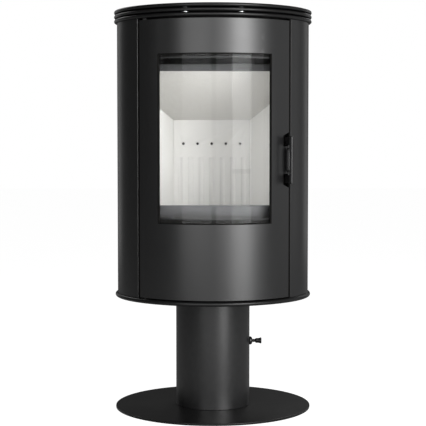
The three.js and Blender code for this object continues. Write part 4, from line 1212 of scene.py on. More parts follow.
@dataclass
class Casing:
    """The curved side panels, the rear cover, the bottom plate and the stacked top plates."""

    palette: Palette
    sheet: float = 0.003
    fold_depth: float = 0.010
    fold_width: float = 0.003
    front_bearing: float = 50.15
    rear_half: float = 52.0
    seam: float = 0.12
    edge: float = 0.0007
    strip_span: tuple[float, float] = (0.02, 0.2)
    strip_short: float = 0.001
    cover_edge: float = 0.00049
    screw_turn: float = 2.4
    screw_inset: float = 0.03
    end_shares: tuple[float, ...] = (0, 0.15, 0.45, 1)
    slot_half: float = 17.0
    slot_height: float = 0.006
    slot_pitch: float = 0.018
    slot_count: int = 5
    slot_rises: tuple[float, ...] = (0.040, 0.202)
    outlet: float = 0.078
    blank_gap: float = 0.0003
    blank_screw_inset: float = 0.008
    spacer_bore: float = 0.002
    spacer_play: float = 0.0003
    sleeve_start: float = 0.001
    bottom_bore: float = 0.058
    top_bore: float = 0.079
    round_steps: int = 12
    segments: int = 240

    def build(self) -> None:
        """Makes the casing's pieces."""
        for side, sign in (("left", -1), ("right", 1)):
            self.side_panel(side, sign)
            self.gap_shade_strip(side, sign)
        self.rear_cover()
        self.blanking_plate()
        self.round_plates()
        self.spacers()

    def side_panel(self, side: str, sign: int) -> None:
        """A side panel with its front edge folded inwards.

        Args:
            side: left or right.
            sign: -1 for left, 1 for right.
        """
        low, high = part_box(f"casing_{side}")
        radius = body_radius()
        fold = angle_of(self.fold_width, radius)
        front = self.front_bearing
        rear = 180 - self.rear_half - self.seam
        bearings = ticks([front, front + fold, rear], 1.25)
        if sign < 0:
            bearings = [-b for b in reversed(bearings)]
        radii = [radius - self.fold_depth, radius - self.sheet, radius]
        panel = curved_solid(
            f"side_panel_{side}", bearings, radii, ticks([low.z, high.z], TALL_STEP),
            lambda b, r, z: r > radius - self.sheet or abs(b) < front + fold,
        )
        self.palette.fit(rounded_wall(panel, self.edge), Body.STOVE, Finish.STOVE_PAINT, f"casing_{side}")

    def gap_shade_strip(self, side: str, sign: int) -> None:
        """A black strip on a side panel's front fold, in the gap beside the door: painted shade that keeps
        the gap dark.

        Args:
            side: left or right.
            sign: -1 for left, 1 for right.
        """
        low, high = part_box(f"casing_{side}")
        radius = body_radius()
        bearings = sorted(sign * (self.front_bearing - back) for back in self.strip_span)
        radii = [radius - self.fold_depth, radius - self.edge]
        heights = ticks([low.z + self.strip_short, high.z - self.strip_short], TALL_STEP)
        strip = curved_solid(f"gap_shade_strip_{side}", bearings, radii, heights, everywhere)
        # Painted shade: the near-black rope finish stands in for the shade deep in the gap beside the door.
        self.palette.fit(strip, Body.STOVE, Finish.SEAL_ROPE)

    def slot_middles(self, low: float) -> list[float]:
        """The heights of all the slots' middles, above the cover's lower edge."""
        steps = [self.slot_height / 2 + i * self.slot_pitch for i in range(self.slot_count)]
        return [low + rise + step for rise in self.slot_rises for step in steps]

    def rear_cover(self) -> None:
        """The rear cover with two groups of round-ended slots, and its screws."""
        low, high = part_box("casing_rear")
        radius = body_radius()
        half = self.slot_height / 2
        middles = self.slot_middles(low.z)
        turn = angle_of(half, radius)
        ends = [180 + s * (self.slot_half - turn * share) for s in (-1, 1) for share in self.end_shares]
        bearings = ticks([180 - self.rear_half, *ends, 180 + self.rear_half], 1.25)
        heights = ticks([low.z, high.z, *(m + s * half for m in middles for s in (-1, 1))], 0.1)

        def open_here(bearing: float, height: float) -> bool:
            """Whether a spot is inside a slot."""
            return abs(bearing - 180) < self.slot_half and any(abs(height - m) < half for m in middles)

        def round_ends(bearing: float, height: float) -> float:
            """Draws the slots' edges together towards their ends."""
            for m in middles:
                if abs(abs(height - m) - half) < 1e-6:
                    past = (abs(bearing - 180) - (self.slot_half - turn)) / turn
                    if 0 < past <= 1.001:
                        return m + math.copysign(half * math.sqrt(max(0.0, 1 - past * past)), height - m)
            return height

        cover = curved_solid(
            "rear_cover", bearings, [radius - self.sheet, radius], heights,
            lambda b, r, z: not open_here(b, z), round_ends,
        )
        outlet_height = middle_of("flue_blanking_plate").z
        drill_ends = [Vector((0, y, outlet_height)) for y in (0.1, 0.4)]
        drilled(cover, [rod("drill_outlet", self.outlet, *drill_ends, 96)])
        self.palette.fit(rounded_wall(cover, self.cover_edge), Body.STOVE, Finish.STOVE_PAINT, "casing_rear")
        span = high.z - low.z - 2 * self.screw_inset
        spots = [
            (180 + side * (self.rear_half - self.screw_turn), low.z + self.screw_inset + span * i / 3)
            for side in (-1, 1)
            for i in range(4)
        ]
        places = [(at(b, radius, z), at(b, 1)) for b, z in spots]
        screws = Screw().row("rear_cover_screws", places)
        self.palette.fit(screws, Body.STOVE, Finish.PLATE_PAINT)

    def blanking_plate(self) -> None:
        """The curved disc over the unused rear outlet, and its screws."""
        low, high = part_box("flue_blanking_plate")
        middle = (low.z + high.z) / 2
        disc = (high.z - low.z) / 2
        inner = body_radius() + self.blank_gap
        thick = self.sheet
        rings = [disc * i / 10 for i in range(10)]
        face = [(r, thick) for r in reversed(rings[1:])]
        back = [(r, 0.0) for r in rings[1:]]
        rim = filleted([(disc * 0.95, 0), (disc, 0), (disc, thick), (disc * 0.95, thick)], 0.0008, 3)
        profile = [(0, 0), *back, *rim[4:-4], *face, (0, thick)]
        plate = lathe("flue_blanking_cover", profile, 120, closed=False)
        for vertex in plate.data.vertices:
            x, z, depth = vertex.co
            reach = inner + depth
            vertex.co = (x * reach / inner, math.sqrt(reach**2 - (x * reach / inner) ** 2), middle + z)
        self.palette.fit(facing_out(plate), Body.STOVE, Finish.PLATE_PAINT, "flue_blanking_plate")
        circle = disc - self.blank_screw_inset
        places = []
        for i in range(4):
            a = math.radians(45 + 90 * i)
            x = circle * math.cos(a)
            spot = Vector((x, math.sqrt((inner + thick) ** 2 - x * x), middle + circle * math.sin(a)))
            places.append((spot, Vector((spot.x, spot.y, 0)).normalized()))
        screws = Screw(head=0.0048, height=0.0024).row("blanking_cover_screws", places)
        self.palette.fit(screws, Body.STOVE, Finish.ZINC)

    def bullnose(self, bore: float, radius: float, low: float, high: float) -> list[tuple[float, float]]:
        """A plate's profile with a fully rounded rim.

        Args:
            bore: the radius of the hole.
            radius: the outer radius.
            low: the underside.
            high: the top face.

        Returns:
            The closed profile.
        """
        half = (high - low) / 2
        steps = self.round_steps
        arc = [math.pi * (i / steps - 0.5) for i in range(steps + 1)]
        rim = [(radius - half + half * math.cos(a), low + half + half * math.sin(a)) for a in arc]
        lip = 0.0006
        return [
            (bore, low + lip), (bore + lip, low), (radius * 0.6, low), (radius * 0.9, low), *rim,
            (radius * 0.9, high), (radius * 0.6, high), (bore + lip, high), (bore, high - lip),
        ]

    def round_plates(self) -> None:
        """The bottom plate and the three top plates."""
        plates = [("bottom_plate", self.bottom_bore)]
        plates += [(f"top_plate_{level}", self.top_bore) for level in ("lower", "middle", "upper")]
        for node, bore in plates:
            low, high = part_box(node)
            profile = self.bullnose(bore, radius_of(node), low.z, high.z)
            made = lathe(f"{node}_round", profile, self.segments)
            if node == "top_plate_middle":
                drilled(made, [self.spacer_drill(i) for i in (1, 2, 3)])
                even_shading(made)
            self.palette.fit(made, Body.STOVE, Finish.PLATE_PAINT, node)

    def spacer_drill(self, number: int) -> Shape:
        """A drill for the hole that one spacer passes through."""
        node = f"top_spacer_{number}"
        middle = middle_of(node)
        start = Vector((middle.x, middle.y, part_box(node)[0].z - 0.01))
        reach = radius_of(node) + self.spacer_play
        return rod(f"drill_spacer_{number}", reach, start, start + Vector((0, 0, 0.06)))

    def spacers(self) -> None:
        """The turned spacers under the middle top plate, each with a black sleeve over it."""
        for number in (1, 2, 3):
            node = f"top_spacer_{number}"
            low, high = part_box(node)
            reach = radius_of(node)
            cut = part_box("top_plate_middle")[0].z + self.sleeve_start - low.z
            for part, start, end, finish, replaced in (
                ("turned", 0, cut, Finish.ZINC, [node]),
                ("sleeve", cut, high.z - low.z, Finish.HANDLE_BLACK, []),
            ):
                bore = self.spacer_bore
                corners = filleted([(bore, start), (reach, start), (reach, end), (bore, end)], 0.0006, 2)
                made = lathe(f"{node}_{part}", corners, 48, upright(middle_of(node), low.z))
                self.palette.fit(made, Body.STOVE, finish, *replaced)


def facing_out(piece: Shape) -> Shape:
    """Turns all of a closed piece's faces outwards again."""
    shell = bmesh.new()
    shell.from_mesh(piece.data)
    bmesh.ops.recalc_face_normals(shell, faces=shell.faces)
    shell.to_mesh(piece.data)
    shell.free()
    return piece


# ------------------------------------------------------------------------------ firebox


@dataclass
class Firebox:
    """The curved front plate, the lining, the baffles, the grate and what is round them."""

    palette: Palette
    front_wall: float = 0.004
    opening_half: float = 39.5
    opening_below: float = 0.012
    opening_above: float = 0.014
    mouth_height: float = 0.076
    guard_height: float = 0.027
    shade_sheet_short: float = 0.002
    shade_sheet_back: float = 0.0015
    shade_sheet_wall: float = 0.002
    shade_sheet_edge: float = 0.0004
    shade_sheet_lift: float = 0.0004
    shade_sheet_lap: float = 0.002
    nose_depth: float = 0.002
    nose_edge: float = 0.0005
    nose_short: float = 0.001
    nose_lap: float = 0.0004
    nose_front: float = 0.0012
    nose_back: float = 0.0008
    flue_radius: float = 0.075
    flue_wall: float = 0.003
    flange_thick: float = 0.004
    rim_edge: float = 0.0012
    brick_edge: float = 0.0012
    flute_edge: float = 0.0008
    guard_edge: float = 0.0009
    sheet_edge: float = 0.0006

    BRICKS = ("lining_corner_left", "lining_corner_right", "lining_side_left", "lining_side_right",
              "lining_floor")
    STEEL = ("ash_box", "secondary_air_duct", "firebox_leg_left", "firebox_leg_right")
    PLAIN = ("firebox_shell", "firebox_roof", "firebox_floor", "air_pipe", "column_foot_flange",
             "column_head_flange", "air_valve_plate", "damper_plate")

    def build(self) -> None:
        """Makes the firebox's pieces."""
        self.front_plate()
        self.copy("lining_back", self.flute_edge, Finish.FIREBRICK)
        for node in self.BRICKS:
            self.copy(node, self.brick_edge, Finish.FIREBRICK)
        for node in ("baffle_lower", "baffle_upper"):
            self.copy(node, self.brick_edge, Finish.BAFFLE_BOARD)
        self.baffle_front_shade()
        self.guard_shade_sheet()
        self.copy("grate", self.brick_edge, Finish.CAST_IRON)
        self.copy("log_guard", self.guard_edge, Finish.GUARD_STEEL)
        for node in self.STEEL:
            self.copy(node, self.sheet_edge, Finish.INNER_STEEL)
        for node in ("latch_keeper_top", "latch_keeper_bottom"):
            self.copy(node, self.flute_edge, Finish.INNER_STEEL)
        self.flue_collar()
        for node in self.PLAIN:
            self.palette.dress(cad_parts[node], Finish.INNER_STEEL)
            log.info("%s: kept, %s", node, Finish.INNER_STEEL.value)

    def copy(self, node: str, edge: float, finish: Finish) -> None:
        """Replaces a node by its copy with rounded edges.

        Args:
            node: the node.
            edge: the rounding.
            finish: the copy's finish.
        """
        self.palette.fit(finer_copy(f"{node}_fine", node, edge), Body.STOVE, finish, node)

    def front_plate(self) -> None:
        """The curved plate with the fire opening and the ash pan's mouth."""
        low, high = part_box("firebox_front")
        radius = -low.y
        glass_low, glass_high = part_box("door_glass")
        bottom = glass_low.z + GLASS_LAP - self.opening_below
        top = glass_high.z - GLASS_LAP + self.opening_above
        box_low, box_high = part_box("ash_box")
        mouth_half = math.degrees(math.asin(box_high.x / radius))
        mouth_top = box_low.z + self.mouth_height
        halves = (half_angle_of("firebox_front"), self.opening_half, mouth_half)
        bearings = ticks([sign * half for sign in (-1, 1) for half in halves], 1.5)
        heights = ticks([low.z, high.z, bottom, top, box_low.z, mouth_top], TALL_STEP)

        def solid(bearing: float, radial: float, height: float) -> bool:
            """Whether the plate is there, outside the two openings."""
            fire = abs(bearing) < self.opening_half and bottom < height < top
            ash = abs(bearing) < mouth_half and box_low.z < height < mouth_top
            return not fire and not ash

        radii = [radius - self.front_wall, radius]
        plate = curved_solid("firebox_front_plate", bearings, radii, heights, solid)
        plate = rounded_wall(plate, self.sheet_edge)
        self.palette.fit(plate, Body.STOVE, Finish.INNER_STEEL, "firebox_front")

    def baffle_front_shade(self) -> None:
        """A strip in the darker bare-steel finish along the front edge of the lower baffle: painted shade on
        the baffle's front face.
        """
        places = [vertex.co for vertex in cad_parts["baffle_lower"].data.vertices]
        front = min(place.y for place in places)
        edge = [place for place in places if place.y < front + self.nose_depth]
        half = max(place.x for place in edge) - self.nose_short
        low = min(place.z for place in edge) - self.nose_lap
        high = max(place.z for place in edge) + self.nose_lap
        near, far = front - self.nose_front, front + self.nose_back
        nose = upright_box("baffle_front_shade", (-half, near, low), (half, far, high))
        nose = soften(nose, self.nose_edge)
        # Painted shade: the darker steel finish stands in for the shade on the baffle's front edge.
        self.palette.fit(nose, Body.STOVE, Finish.GUARD_STEEL)

    def guard_shade_sheet(self) -> None:
        """A dark sheet that closes the gap under the log guard: painted shade, so that the gap reads dark."""
        low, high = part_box("log_guard")
        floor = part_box("lining_floor")[1].z
        near = low.y + self.shade_sheet_back
        first = (low.x + self.shade_sheet_short, near, floor + self.shade_sheet_lift)
        top = high.z - self.guard_height + self.shade_sheet_lap
        last = (high.x - self.shade_sheet_short, near + self.shade_sheet_wall, top)
        shade_sheet = soften(upright_box("log_guard_shade_sheet", first, last), self.shade_sheet_edge)
        # Painted shade: the dark inner-steel sheet stands in for the shade under the log guard.
        self.palette.fit(shade_sheet, Body.STOVE, Finish.INNER_STEEL)

    def flue_collar(self) -> None:
        """The collar that takes the flue pipe, with a rolled rim and a bolted flange."""
        low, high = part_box("flue_collar")
        flange = radius_of("flue_collar")
        outer = self.flue_radius
        inner = outer - self.flue_wall
        face = low.z + self.flange_thick
        corners = [
            (inner, low.z), (flange, low.z), (flange, face), (outer, face), (outer, high.z), (inner, high.z),
        ]
        collar = lathe("flue_collar_rolled", filleted(corners, self.rim_edge, 4), 160)
        self.palette.fit(collar, Body.STOVE, Finish.INNER_STEEL, "flue_collar")
        circle = (outer + flange) / 2
        places = [(at(45 + 90 * i, circle, face), Vector((0, 0, 1))) for i in range(4)]
        bolt = Screw(head=0.0055, height=0.004, socket=0.0026, socket_depth=0.0024)
        self.palette.fit(bolt.row("flue_collar_bolts", places), Body.STOVE, Finish.ZINC)


@dataclass
class AshDrawer:
    """The ash pan and its handle."""

    palette: Palette
    edge: float = 0.0006
    grip_edge: float = 0.0022

    def build(self) -> None:
        """Makes the pan and the handle."""
        pan = finer_copy("ash_pan_folded", "ash_pan", self.edge)
        self.palette.fit(pan, Body.ASH_DRAWER, Finish.GUARD_STEEL, "ash_pan")
        grip = finer_copy("ash_pan_grip", "ash_pan_handle", self.grip_edge, 3)
        self.palette.fit(grip, Body.ASH_DRAWER, Finish.HANDLE_BLACK, "ash_pan_handle")


# ------------------------------------------------------------------------------ door


@dataclass
class Door:
    """The curved door: folded panel, glass and its fixings, rope seal, hinges and barrel."""

    palette: Palette
    half: float = 48.3
    depth: float = 0.016
    skin: float = 0.004
    flange: float = 0.0025
    window_half: float = 34.45
    glass: float = 0.004
    tape: float = 0.0014
    tape_beyond: float = 1.2
    tape_margin: float = 0.005
    keeper: float = 0.003
    keeper_half: float = 35.5
    keeper_low: float = 0.014
    keeper_high: float = 0.012
    keeper_screw: float = 37.1
    keeper_screw_inset: float = 0.008
    bead_half: float = 35.3
    bead_low: float = 0.0105
    bead_height: float = 0.0035
    bead_span: tuple[float, float] = (0.0002, 0.0038)
    gasket_beyond: float = 0.02
    gasket_turn: float = 0.8
    gasket_height: float = 0.002
    gasket_gaps: tuple[float, float] = (0.0002, 0.0004)
    channel: float = 0.0097
    channel_half: float = 39.2
    rail: float = 0.025
    edge: float = 0.0008
    pane_edge: float = 0.0006
    tape_edge: float = 0.0004
    sheet_edge: float = 0.0007
    bead_edge: float = 0.0012
    gasket_edge: float = 0.0003
    notch_angle: float = 5.3
    notch_margin: float = 0.003
    notch_slope: float = 0.009
    pin_hole: float = 0.0045
    pin_radius: float = 0.004
    pin_point: float = 0.0012
    collar_chamfer: float = 0.0004
    collar_lengths: tuple[float, float] = (0.0044, 0.0024)
    barrel_radius: float = 0.006
    barrel_bore: float = 0.0027
    barrel_lip: float = 0.0012
    barrel_taper: float = 0.006
    web_half: float = 0.002
    web_span: tuple[float, float] = (-0.0002, 0.0045)
    rope_half_width: float = 0.0048
    weave_turns: float = 0.011
    segments: int = 48

    def __post_init__(self) -> None:
        """Reads the door's heights from the frame."""
        low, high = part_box("door_panel")
        glass_low, glass_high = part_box("door_glass")
        self.low = low.z
        self.high = high.z
        self.window_low = glass_low.z + GLASS_LAP
        self.window_high = glass_high.z - GLASS_LAP

    def build(self) -> None:
        """Makes the door's pieces."""
        self.panel()
        self.pane()
        self.glass_tape()
        self.glass_keeper()
        self.window_gasket_and_shade()
        self.keeper_screws()
        self.seal()
        self.hinges()
        self.handle_barrel()

    def notches(self) -> list[tuple[float, float, int]]:
        """The notches for the two handle arms.

        Returns:
            For each, the height of the edge next to the handle's middle, of the far edge, and its way.
        """
        result = []
        for name, up in (("top", 1), ("bottom", -1)):
            low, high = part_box(f"handle_arm_{name}")
            near, far = (low.z, high.z) if up > 0 else (high.z, low.z)
            result.append((near - up * self.notch_margin, far + up * self.notch_margin, up))
        return result

    def panel(self) -> None:
        """The skin with four folded edges, the window and the notches for the handle's arms."""
        outer = body_radius()
        inner = outer - self.depth
        flange = angle_of(self.flange, outer)
        start = self.half - self.notch_angle
        notches = self.notches()
        bearings = ticks(
            [-self.half, -self.half + flange, -self.window_half, self.window_half, start,
             self.half - flange, self.half], 1.0,
        )
        marks = [self.low, self.low + self.flange, self.window_low, self.window_high,
                 self.high - self.flange, self.high]
        heights = ticks([*marks, *(z for notch in notches for z in notch[:2])], 0.11)

        def solid(bearing: float, radial: float, height: float) -> bool:
            """Whether the folded panel is there."""
            if abs(bearing) < self.window_half and self.window_low < height < self.window_high:
                return False
            if bearing > start and any(min(n, f) < height < max(n, f) for n, f, _ in notches):
                return False
            folded = abs(bearing) > self.half - flange
            folded = folded or not self.low + self.flange < height < self.high - self.flange
            return radial > outer - self.skin or folded

        def slope(bearing: float, height: float) -> float:
            """Raises the far edge of a notch towards the door's edge."""
            for _, far, up in notches:
                if abs(height - far) < 1e-6 and bearing > start:
                    return height + up * self.notch_slope * (bearing - start) / self.notch_angle
            return height

        panel = curved_solid("door_skin", bearings, [inner, outer - self.skin, outer], heights, solid, slope)
        axis = middle_of("hinge_pin_top")
        drills = []
        for i, z in enumerate((self.low, self.high)):
            ends = [Vector((axis.x, axis.y, z + reach)) for reach in (-0.006, 0.006)]
            drills.append(rod(f"drill_{i}", self.pin_hole, *ends))
        drilled(panel, drills)
        self.palette.fit(rounded_wall(panel, self.edge), Body.DOOR, Finish.STOVE_PAINT, "door_panel")

    def curved_frame(
        self, name: str, node: str, depth: float, inner_half: float, lows: tuple[float, float], edge: float
    ) -> Shape:
        """A curved rectangular frame with the outer size of a node.

        Args:
            name: the piece's name.
            node: the node that gives its outer size.
            depth: its thickness.
            inner_half: half of the opening's angle.
            lows: the opening's lower and upper heights.
            edge: the edges' rounding.

        Returns:
            The frame.
        """
        low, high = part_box(node)
        outer = -low.y
        half = half_angle_of(node)
        bearings = ticks([-half, -inner_half, inner_half, half], 1.0)
        heights = ticks([low.z, high.z, *lows], TALL_STEP)

        def solid(bearing: float, radial: float, height: float) -> bool:
            """Whether a spot is on the frame."""
            return not (abs(bearing) < inner_half and lows[0] < height < lows[1])

        return rounded_wall(curved_solid(name, bearings, [outer - depth, outer], heights, solid), edge)

    def pane(self) -> None:
        """The curved glass."""
        low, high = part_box("door_glass")
        outer = -low.y
        half = half_angle_of("door_glass")
        radii = [outer - self.glass, outer]
        pane = curved_solid("curved_glass", ticks([-half, half], 0.75), radii, [low.z, high.z], everywhere)
        pane = rounded_wall(pane, self.pane_edge)
        self.palette.fit(pane, Body.DOOR, Finish.STOVE_GLASS, "door_glass")

    def glass_tape(self) -> None:
        """The flat woven tape that the glass lies on."""
        heights = (self.window_low - self.tape_margin, self.window_high + self.tape_margin)
        half = self.window_half + self.tape_beyond
        tape = self.curved_frame("glass_tape", "glass_seal", self.tape, half, heights, self.tape_edge)
        self.palette.fit(tape, Body.DOOR, Finish.SEAL_ROPE, "glass_seal")

    def glass_keeper(self) -> None:
        """The frame behind the glass in the near-black rope finish as painted shade, with a steel bead along
        its upper and lower edges as a painted highlight.
        """
        heights = (self.window_low + self.keeper_low, self.window_high - self.keeper_high)
        keeper = self.curved_frame(
            "glass_keeper", "glass_retainer", self.keeper, self.keeper_half, heights, self.sheet_edge
        )
        # Painted shade: the frame takes the near-black rope finish so that it reads as dark as the recess
        # behind the glass.
        self.palette.fit(keeper, Body.DOOR, Finish.SEAL_ROPE, "glass_retainer")
        inner = self.keeper_inside()
        radii = [inner + span for span in self.bead_span]
        bearings = ticks([-self.bead_half, self.bead_half], 1.0)
        for place, lip in (("top", heights[1]), ("bottom", self.window_low + self.bead_low)):
            bead_highlight = curved_solid(
                f"glass_keeper_bead_highlight_{place}", bearings, radii, [lip, lip + self.bead_height], everywhere
            )
            # Painted highlight: the bare-steel bead is lighter than the black frame and stands in for the
            # light caught on the frame's edge.
            self.palette.fit(rounded_wall(bead_highlight, self.bead_edge), Body.DOOR, Finish.GUARD_STEEL)

    def keeper_inside(self) -> float:
        """The radius of the inner face of the frame behind the glass."""
        return -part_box("glass_retainer")[0].y - self.keeper

    def window_gasket_and_shade(self) -> None:
        """The black gasket round the window's edge, in front of the glass; its near-black band is also
        painted shade for the window's reveal.
        """
        half = self.window_half + self.gasket_beyond
        inner_half = half - self.gasket_turn
        lows = (self.window_low + self.gasket_height, self.window_high - self.gasket_height)
        glass_gap, panel_gap = self.gasket_gaps
        radii = [-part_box("door_glass")[0].y + glass_gap, -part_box("door_panel")[0].y - panel_gap]
        gasket_and_shade = curved_solid(
            "window_gasket_and_shade", ticks([-half, half, -inner_half, inner_half], 1.0), radii,
            ticks([self.window_low, self.window_high, *lows], TALL_STEP),
            lambda b, r, z: not (abs(b) < inner_half and lows[0] < z < lows[1]),
        )
        # Painted shade as well as a gasket: the near-black band fills the window's reveal, where the shade
        # falls.
        self.palette.fit(rounded_wall(gasket_and_shade, self.gasket_edge), Body.DOOR, Finish.SEAL_ROPE)

    def keeper_screws(self) -> None:
        """The six screws of the frame behind the glass."""
        low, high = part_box("glass_retainer")
        inset = self.keeper_screw_inset
        bearings = (-self.keeper_screw, self.keeper_screw)
        spots = [(b, z) for b in bearings for z in (low.z + inset, high.z - inset)]
        spots += [(b, (low.z + high.z) / 2) for b in bearings]
        inner = self.keeper_inside()
        screws = Screw().row("glass_keeper_screws", [(at(b, inner, z), -at(b, 1)) for b, z in spots])
        self.palette.fit(screws, Body.DOOR, Finish.ZINC)

    def seal(self) -> None:
        """The welded frame that holds the rope, and the braided rope round the door."""
        low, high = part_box("door_seal_frame")
        heights = (low.z + self.rail, high.z - self.rail)
        holder = self.curved_frame(
            "rope_channel", "door_seal_frame", self.channel, self.channel_half, heights, self.sheet_edge
        )
        self.palette.fit(holder, Body.DOOR, Finish.INNER_STEEL, "door_seal_frame")

        rope_low, rope_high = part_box("door_rope_seal")
        thick = self.rope_half_width
        radius = -rope_low.y - thick
        half_width = radius * math.asin(rope_high.x / -rope_low.y) - thick
        rope = braided_loop(
            "door_rope", radius, half_width, rope_low.z + thick, rope_high.z - thick, thick, self.weave_turns
        )
        self.palette.fit(rope, Body.DOOR, Finish.SEAL_ROPE, "door_rope_seal")

    def hinges(self) -> None:
        """The two hinge pins on the body and the blocks that turn on them."""
        chamfer = self.collar_chamfer
        point = self.pin_point
        pin = self.pin_radius
        for place, up, thick in (("top", -1, self.collar_lengths[0]), ("bottom", 1, self.collar_lengths[1])):
            low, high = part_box(f"hinge_pin_{place}")
            middle = (low + high) / 2
            collar = (high.x - low.x) / 2
            length = high.z - low.z
            profile = [
                (0, 0), (collar - chamfer, 0), (collar, chamfer), (collar, thick - chamfer),
                (collar - chamfer, thick), (pin, thick), (pin, length - point), (pin - point, length),
                (0, length),
            ]
            start = low.z if up > 0 else high.z
            turn = Matrix.Identity(4) if up > 0 else Matrix.Rotation(math.pi, 4, "X")
            made = lathe(
                f"hinge_pin_{place}_turned", profile, self.segments,
                Matrix.Translation((middle.x, middle.y, start)) @ turn, closed=False,
            )
            self.palette.fit(made, Body.STOVE, Finish.INNER_STEEL, f"hinge_pin_{place}")
            block = finer_copy(f"hinge_block_{place}_fine", f"hinge_block_{place}", self.sheet_edge)
            self.palette.fit(block, Body.DOOR, Finish.INNER_STEEL, f"hinge_block_{place}")

    def handle_barrel(self) -> None:
        """The barrel on the door's face that the handle's pin turns in."""
        low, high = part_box("handle_barrel")
        axis = middle_of("handle_pin")
        length = high.z - low.z
        radius = self.barrel_radius
        bore = self.barrel_bore
        corners = [
            (bore, 0), (bore + self.barrel_lip, 0), (radius, self.barrel_taper),
            (radius, length - self.barrel_taper), (bore + self.barrel_lip, length), (bore, length),
        ]
        profile = filleted(corners, self.edge, 3)
        barrel = lathe("handle_barrel_turned", profile, self.segments, upright(axis, low.z))
        self.palette.fit(barrel, Body.DOOR, Finish.HANDLE_BLACK, "handle_barrel")
        bearing = math.degrees(math.atan2(axis.x, -axis.y))
        half = angle_of(self.web_half, body_radius())
        radii = [body_radius() + reach for reach in self.web_span]
        heights = [low.z + self.barrel_taper, high.z - self.barrel_taper]
        web = curved_solid("handle_barrel_web", [bearing - half, bearing + half], radii, heights, everywhere)
        self.palette.fit(soften(web, 0.0004, 1), Body.DOOR, Finish.HANDLE_BLACK)


def braided_loop(
    name: str, radius: float, half_width: float, low: float, high: float, thick: float, turn: float
) -> Shape:
    """A braided rope laid in a rectangle with round corners on the curve of the door.

    Args:
        name: the piece's name.
        radius: the radius that the rope's middle lies on.
        half_width: half of the rectangle, measured round the curve.
        low: the lower run's height.
        high: the upper run's height.
        thick: the rope's radius.
        turn: the length of one turn of the braid.

    Returns:
        The rope.
    """
    corner = 0.014
    pitch = 0.0016
    sides = 16
    route = []
    for cx, cz, start in (
        (half_width - corner, high - corner, 90), (-half_width + corner, high - corner, 180),
        (-half_width + corner, low + corner, 270), (half_width - corner, low + corner, 0),
    ):
        for i in range(9):
            a = math.radians(start - 90 + 90 * i / 8)
            route.append(Vector((cx + corner * math.cos(a), cz + corner * math.sin(a))))
    ends = route[1:] + route[:1]
    total = sum((b - a).length for a, b in zip(route, ends))
    count = round(total / pitch)
    spots = []
    for a, b in zip(route, ends):
        steps = max(1, round((b - a).length / total * count))
        spots += [a.lerp(b, i / steps) for i in range(steps)]
    waves = round(total / turn)
    shell = bmesh.new()
    rows = []
    for i, spot in enumerate(spots):
        ahead = (spots[(i + 1) % len(spots)] - spots[i - 1]).normalized()
        bearing = math.degrees(spot.x / radius)
        outward = at(bearing, 1)
        round_way = Vector((-outward.y, outward.x, 0))
        across = (round_way * -ahead.y + Vector((0, 0, 1)) * ahead.x).normalized()
        phase = 2 * math.pi * waves * i / len(spots)
        row = []
        for j in range(sides):
            a = 2 * math.pi * j / sides
            weave = math.sin(4 * a + phase) * math.sin(4 * a - phase)
            reach = thick * (0.94 + 0.06 * weave)
            offset = across * (reach * math.cos(a)) + outward * (reach * math.sin(a))
            row.append(shell.verts.new(at(bearing, radius, spot.y) + offset))
        rows.append(row)
    for i, row in enumerate(rows):
        ahead_row = rows[(i + 1) % len(rows)]
        for j in range(sides):
            k = (j + 1) % sides
            shell.faces.new([row[j], row[k], ahead_row[k], ahead_row[j]])
    return new_piece(name, shell)


@dataclass
class Handle:
    """The grip bar, the two arms that latch the door, and the pin they turn on."""

    palette: Palette
    bar_radius: float = 0.0043
    dome: float = 0.0022
    arm_edge: float = 0.0009
    pin_radius: float = 0.0022
    pin_chamfer: float = 0.0004
    segments: int = 48

    def build(self) -> None:
        """Makes the handle's pieces."""
        self.bar()
        self.arms()
        self.pin()

    def bar(self) -> None:
        """The upright grip bar with domed ends."""
        low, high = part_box("handle_bar")
        length = high.z - low.z
        steps = 6
        arc = [math.pi / 2 * i / steps for i in range(steps + 1)]
        flat = self.bar_radius - self.dome
        start = [(flat + self.dome * math.sin(a), self.dome * (1 - math.cos(a))) for a in arc]
        end = [(r, length - z) for r, z in reversed(start)]
        profile = [(0, 0), *start, *end, (0, length)]
        place = upright(middle_of("handle_bar"), low.z)
        grip = lathe("handle_grip", profile, self.segments, place, closed=False)
        self.palette.fit(grip, Body.HANDLE, Finish.HANDLE_BLACK, "handle_bar")

    def arms(self) -> None:
        """The two arms, from the bar over the pin to the latch nose."""
        for place in ("top", "bottom"):
            node = f"handle_arm_{place}"
            arm = finer_copy(f"{node}_fine", node, self.arm_edge, 3)
            self.palette.fit(arm, Body.HANDLE, Finish.HANDLE_BLACK, node)

    def pin(self) -> None:
        """The pin through both arms and the barrel."""
        low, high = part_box("handle_pin")
        length = high.z - low.z
        radius = self.pin_radius
        chamfer = self.pin_chamfer
        profile = [
            (0, 0), (radius - chamfer, 0), (radius, chamfer), (radius, length - chamfer),
            (radius - chamfer, length), (0, length),
        ]
        made = lathe("handle_pin_turned", profile, 32, upright(middle_of("handle_pin"), low.z), closed=False)
        self.palette.fit(made, Body.HANDLE, Finish.HANDLE_BLACK, "handle_pin")


# ------------------------------------------------------------------------------ studio


@dataclass(frozen=True)
class Softbox:
    """An upright soft light that looks at the stove."""

    name: str
    bearing: float
    distance: float
    width: float
    height: float
    middle: float
    radiance: float

    def build(self) -> None:
        """Places the light."""
        data = bpy.data.lights.new(self.name, "AREA")
        data.shape = "RECTANGLE"
        data.size = self.width
        data.size_y = self.height
        data.energy = self.radiance * self.width * self.height * math.pi
        lamp = bpy.data.objects.new(self.name, data)
        lamp.location = at(self.bearing, self.distance, self.middle)
        aim = Vector((0, 0, self.middle)) - lamp.location
        lamp.rotation_euler = aim.to_track_quat("-Z", "Y").to_euler()
        lamp.visible_camera = False
        bpy.context.scene.collection.objects.link(lamp)


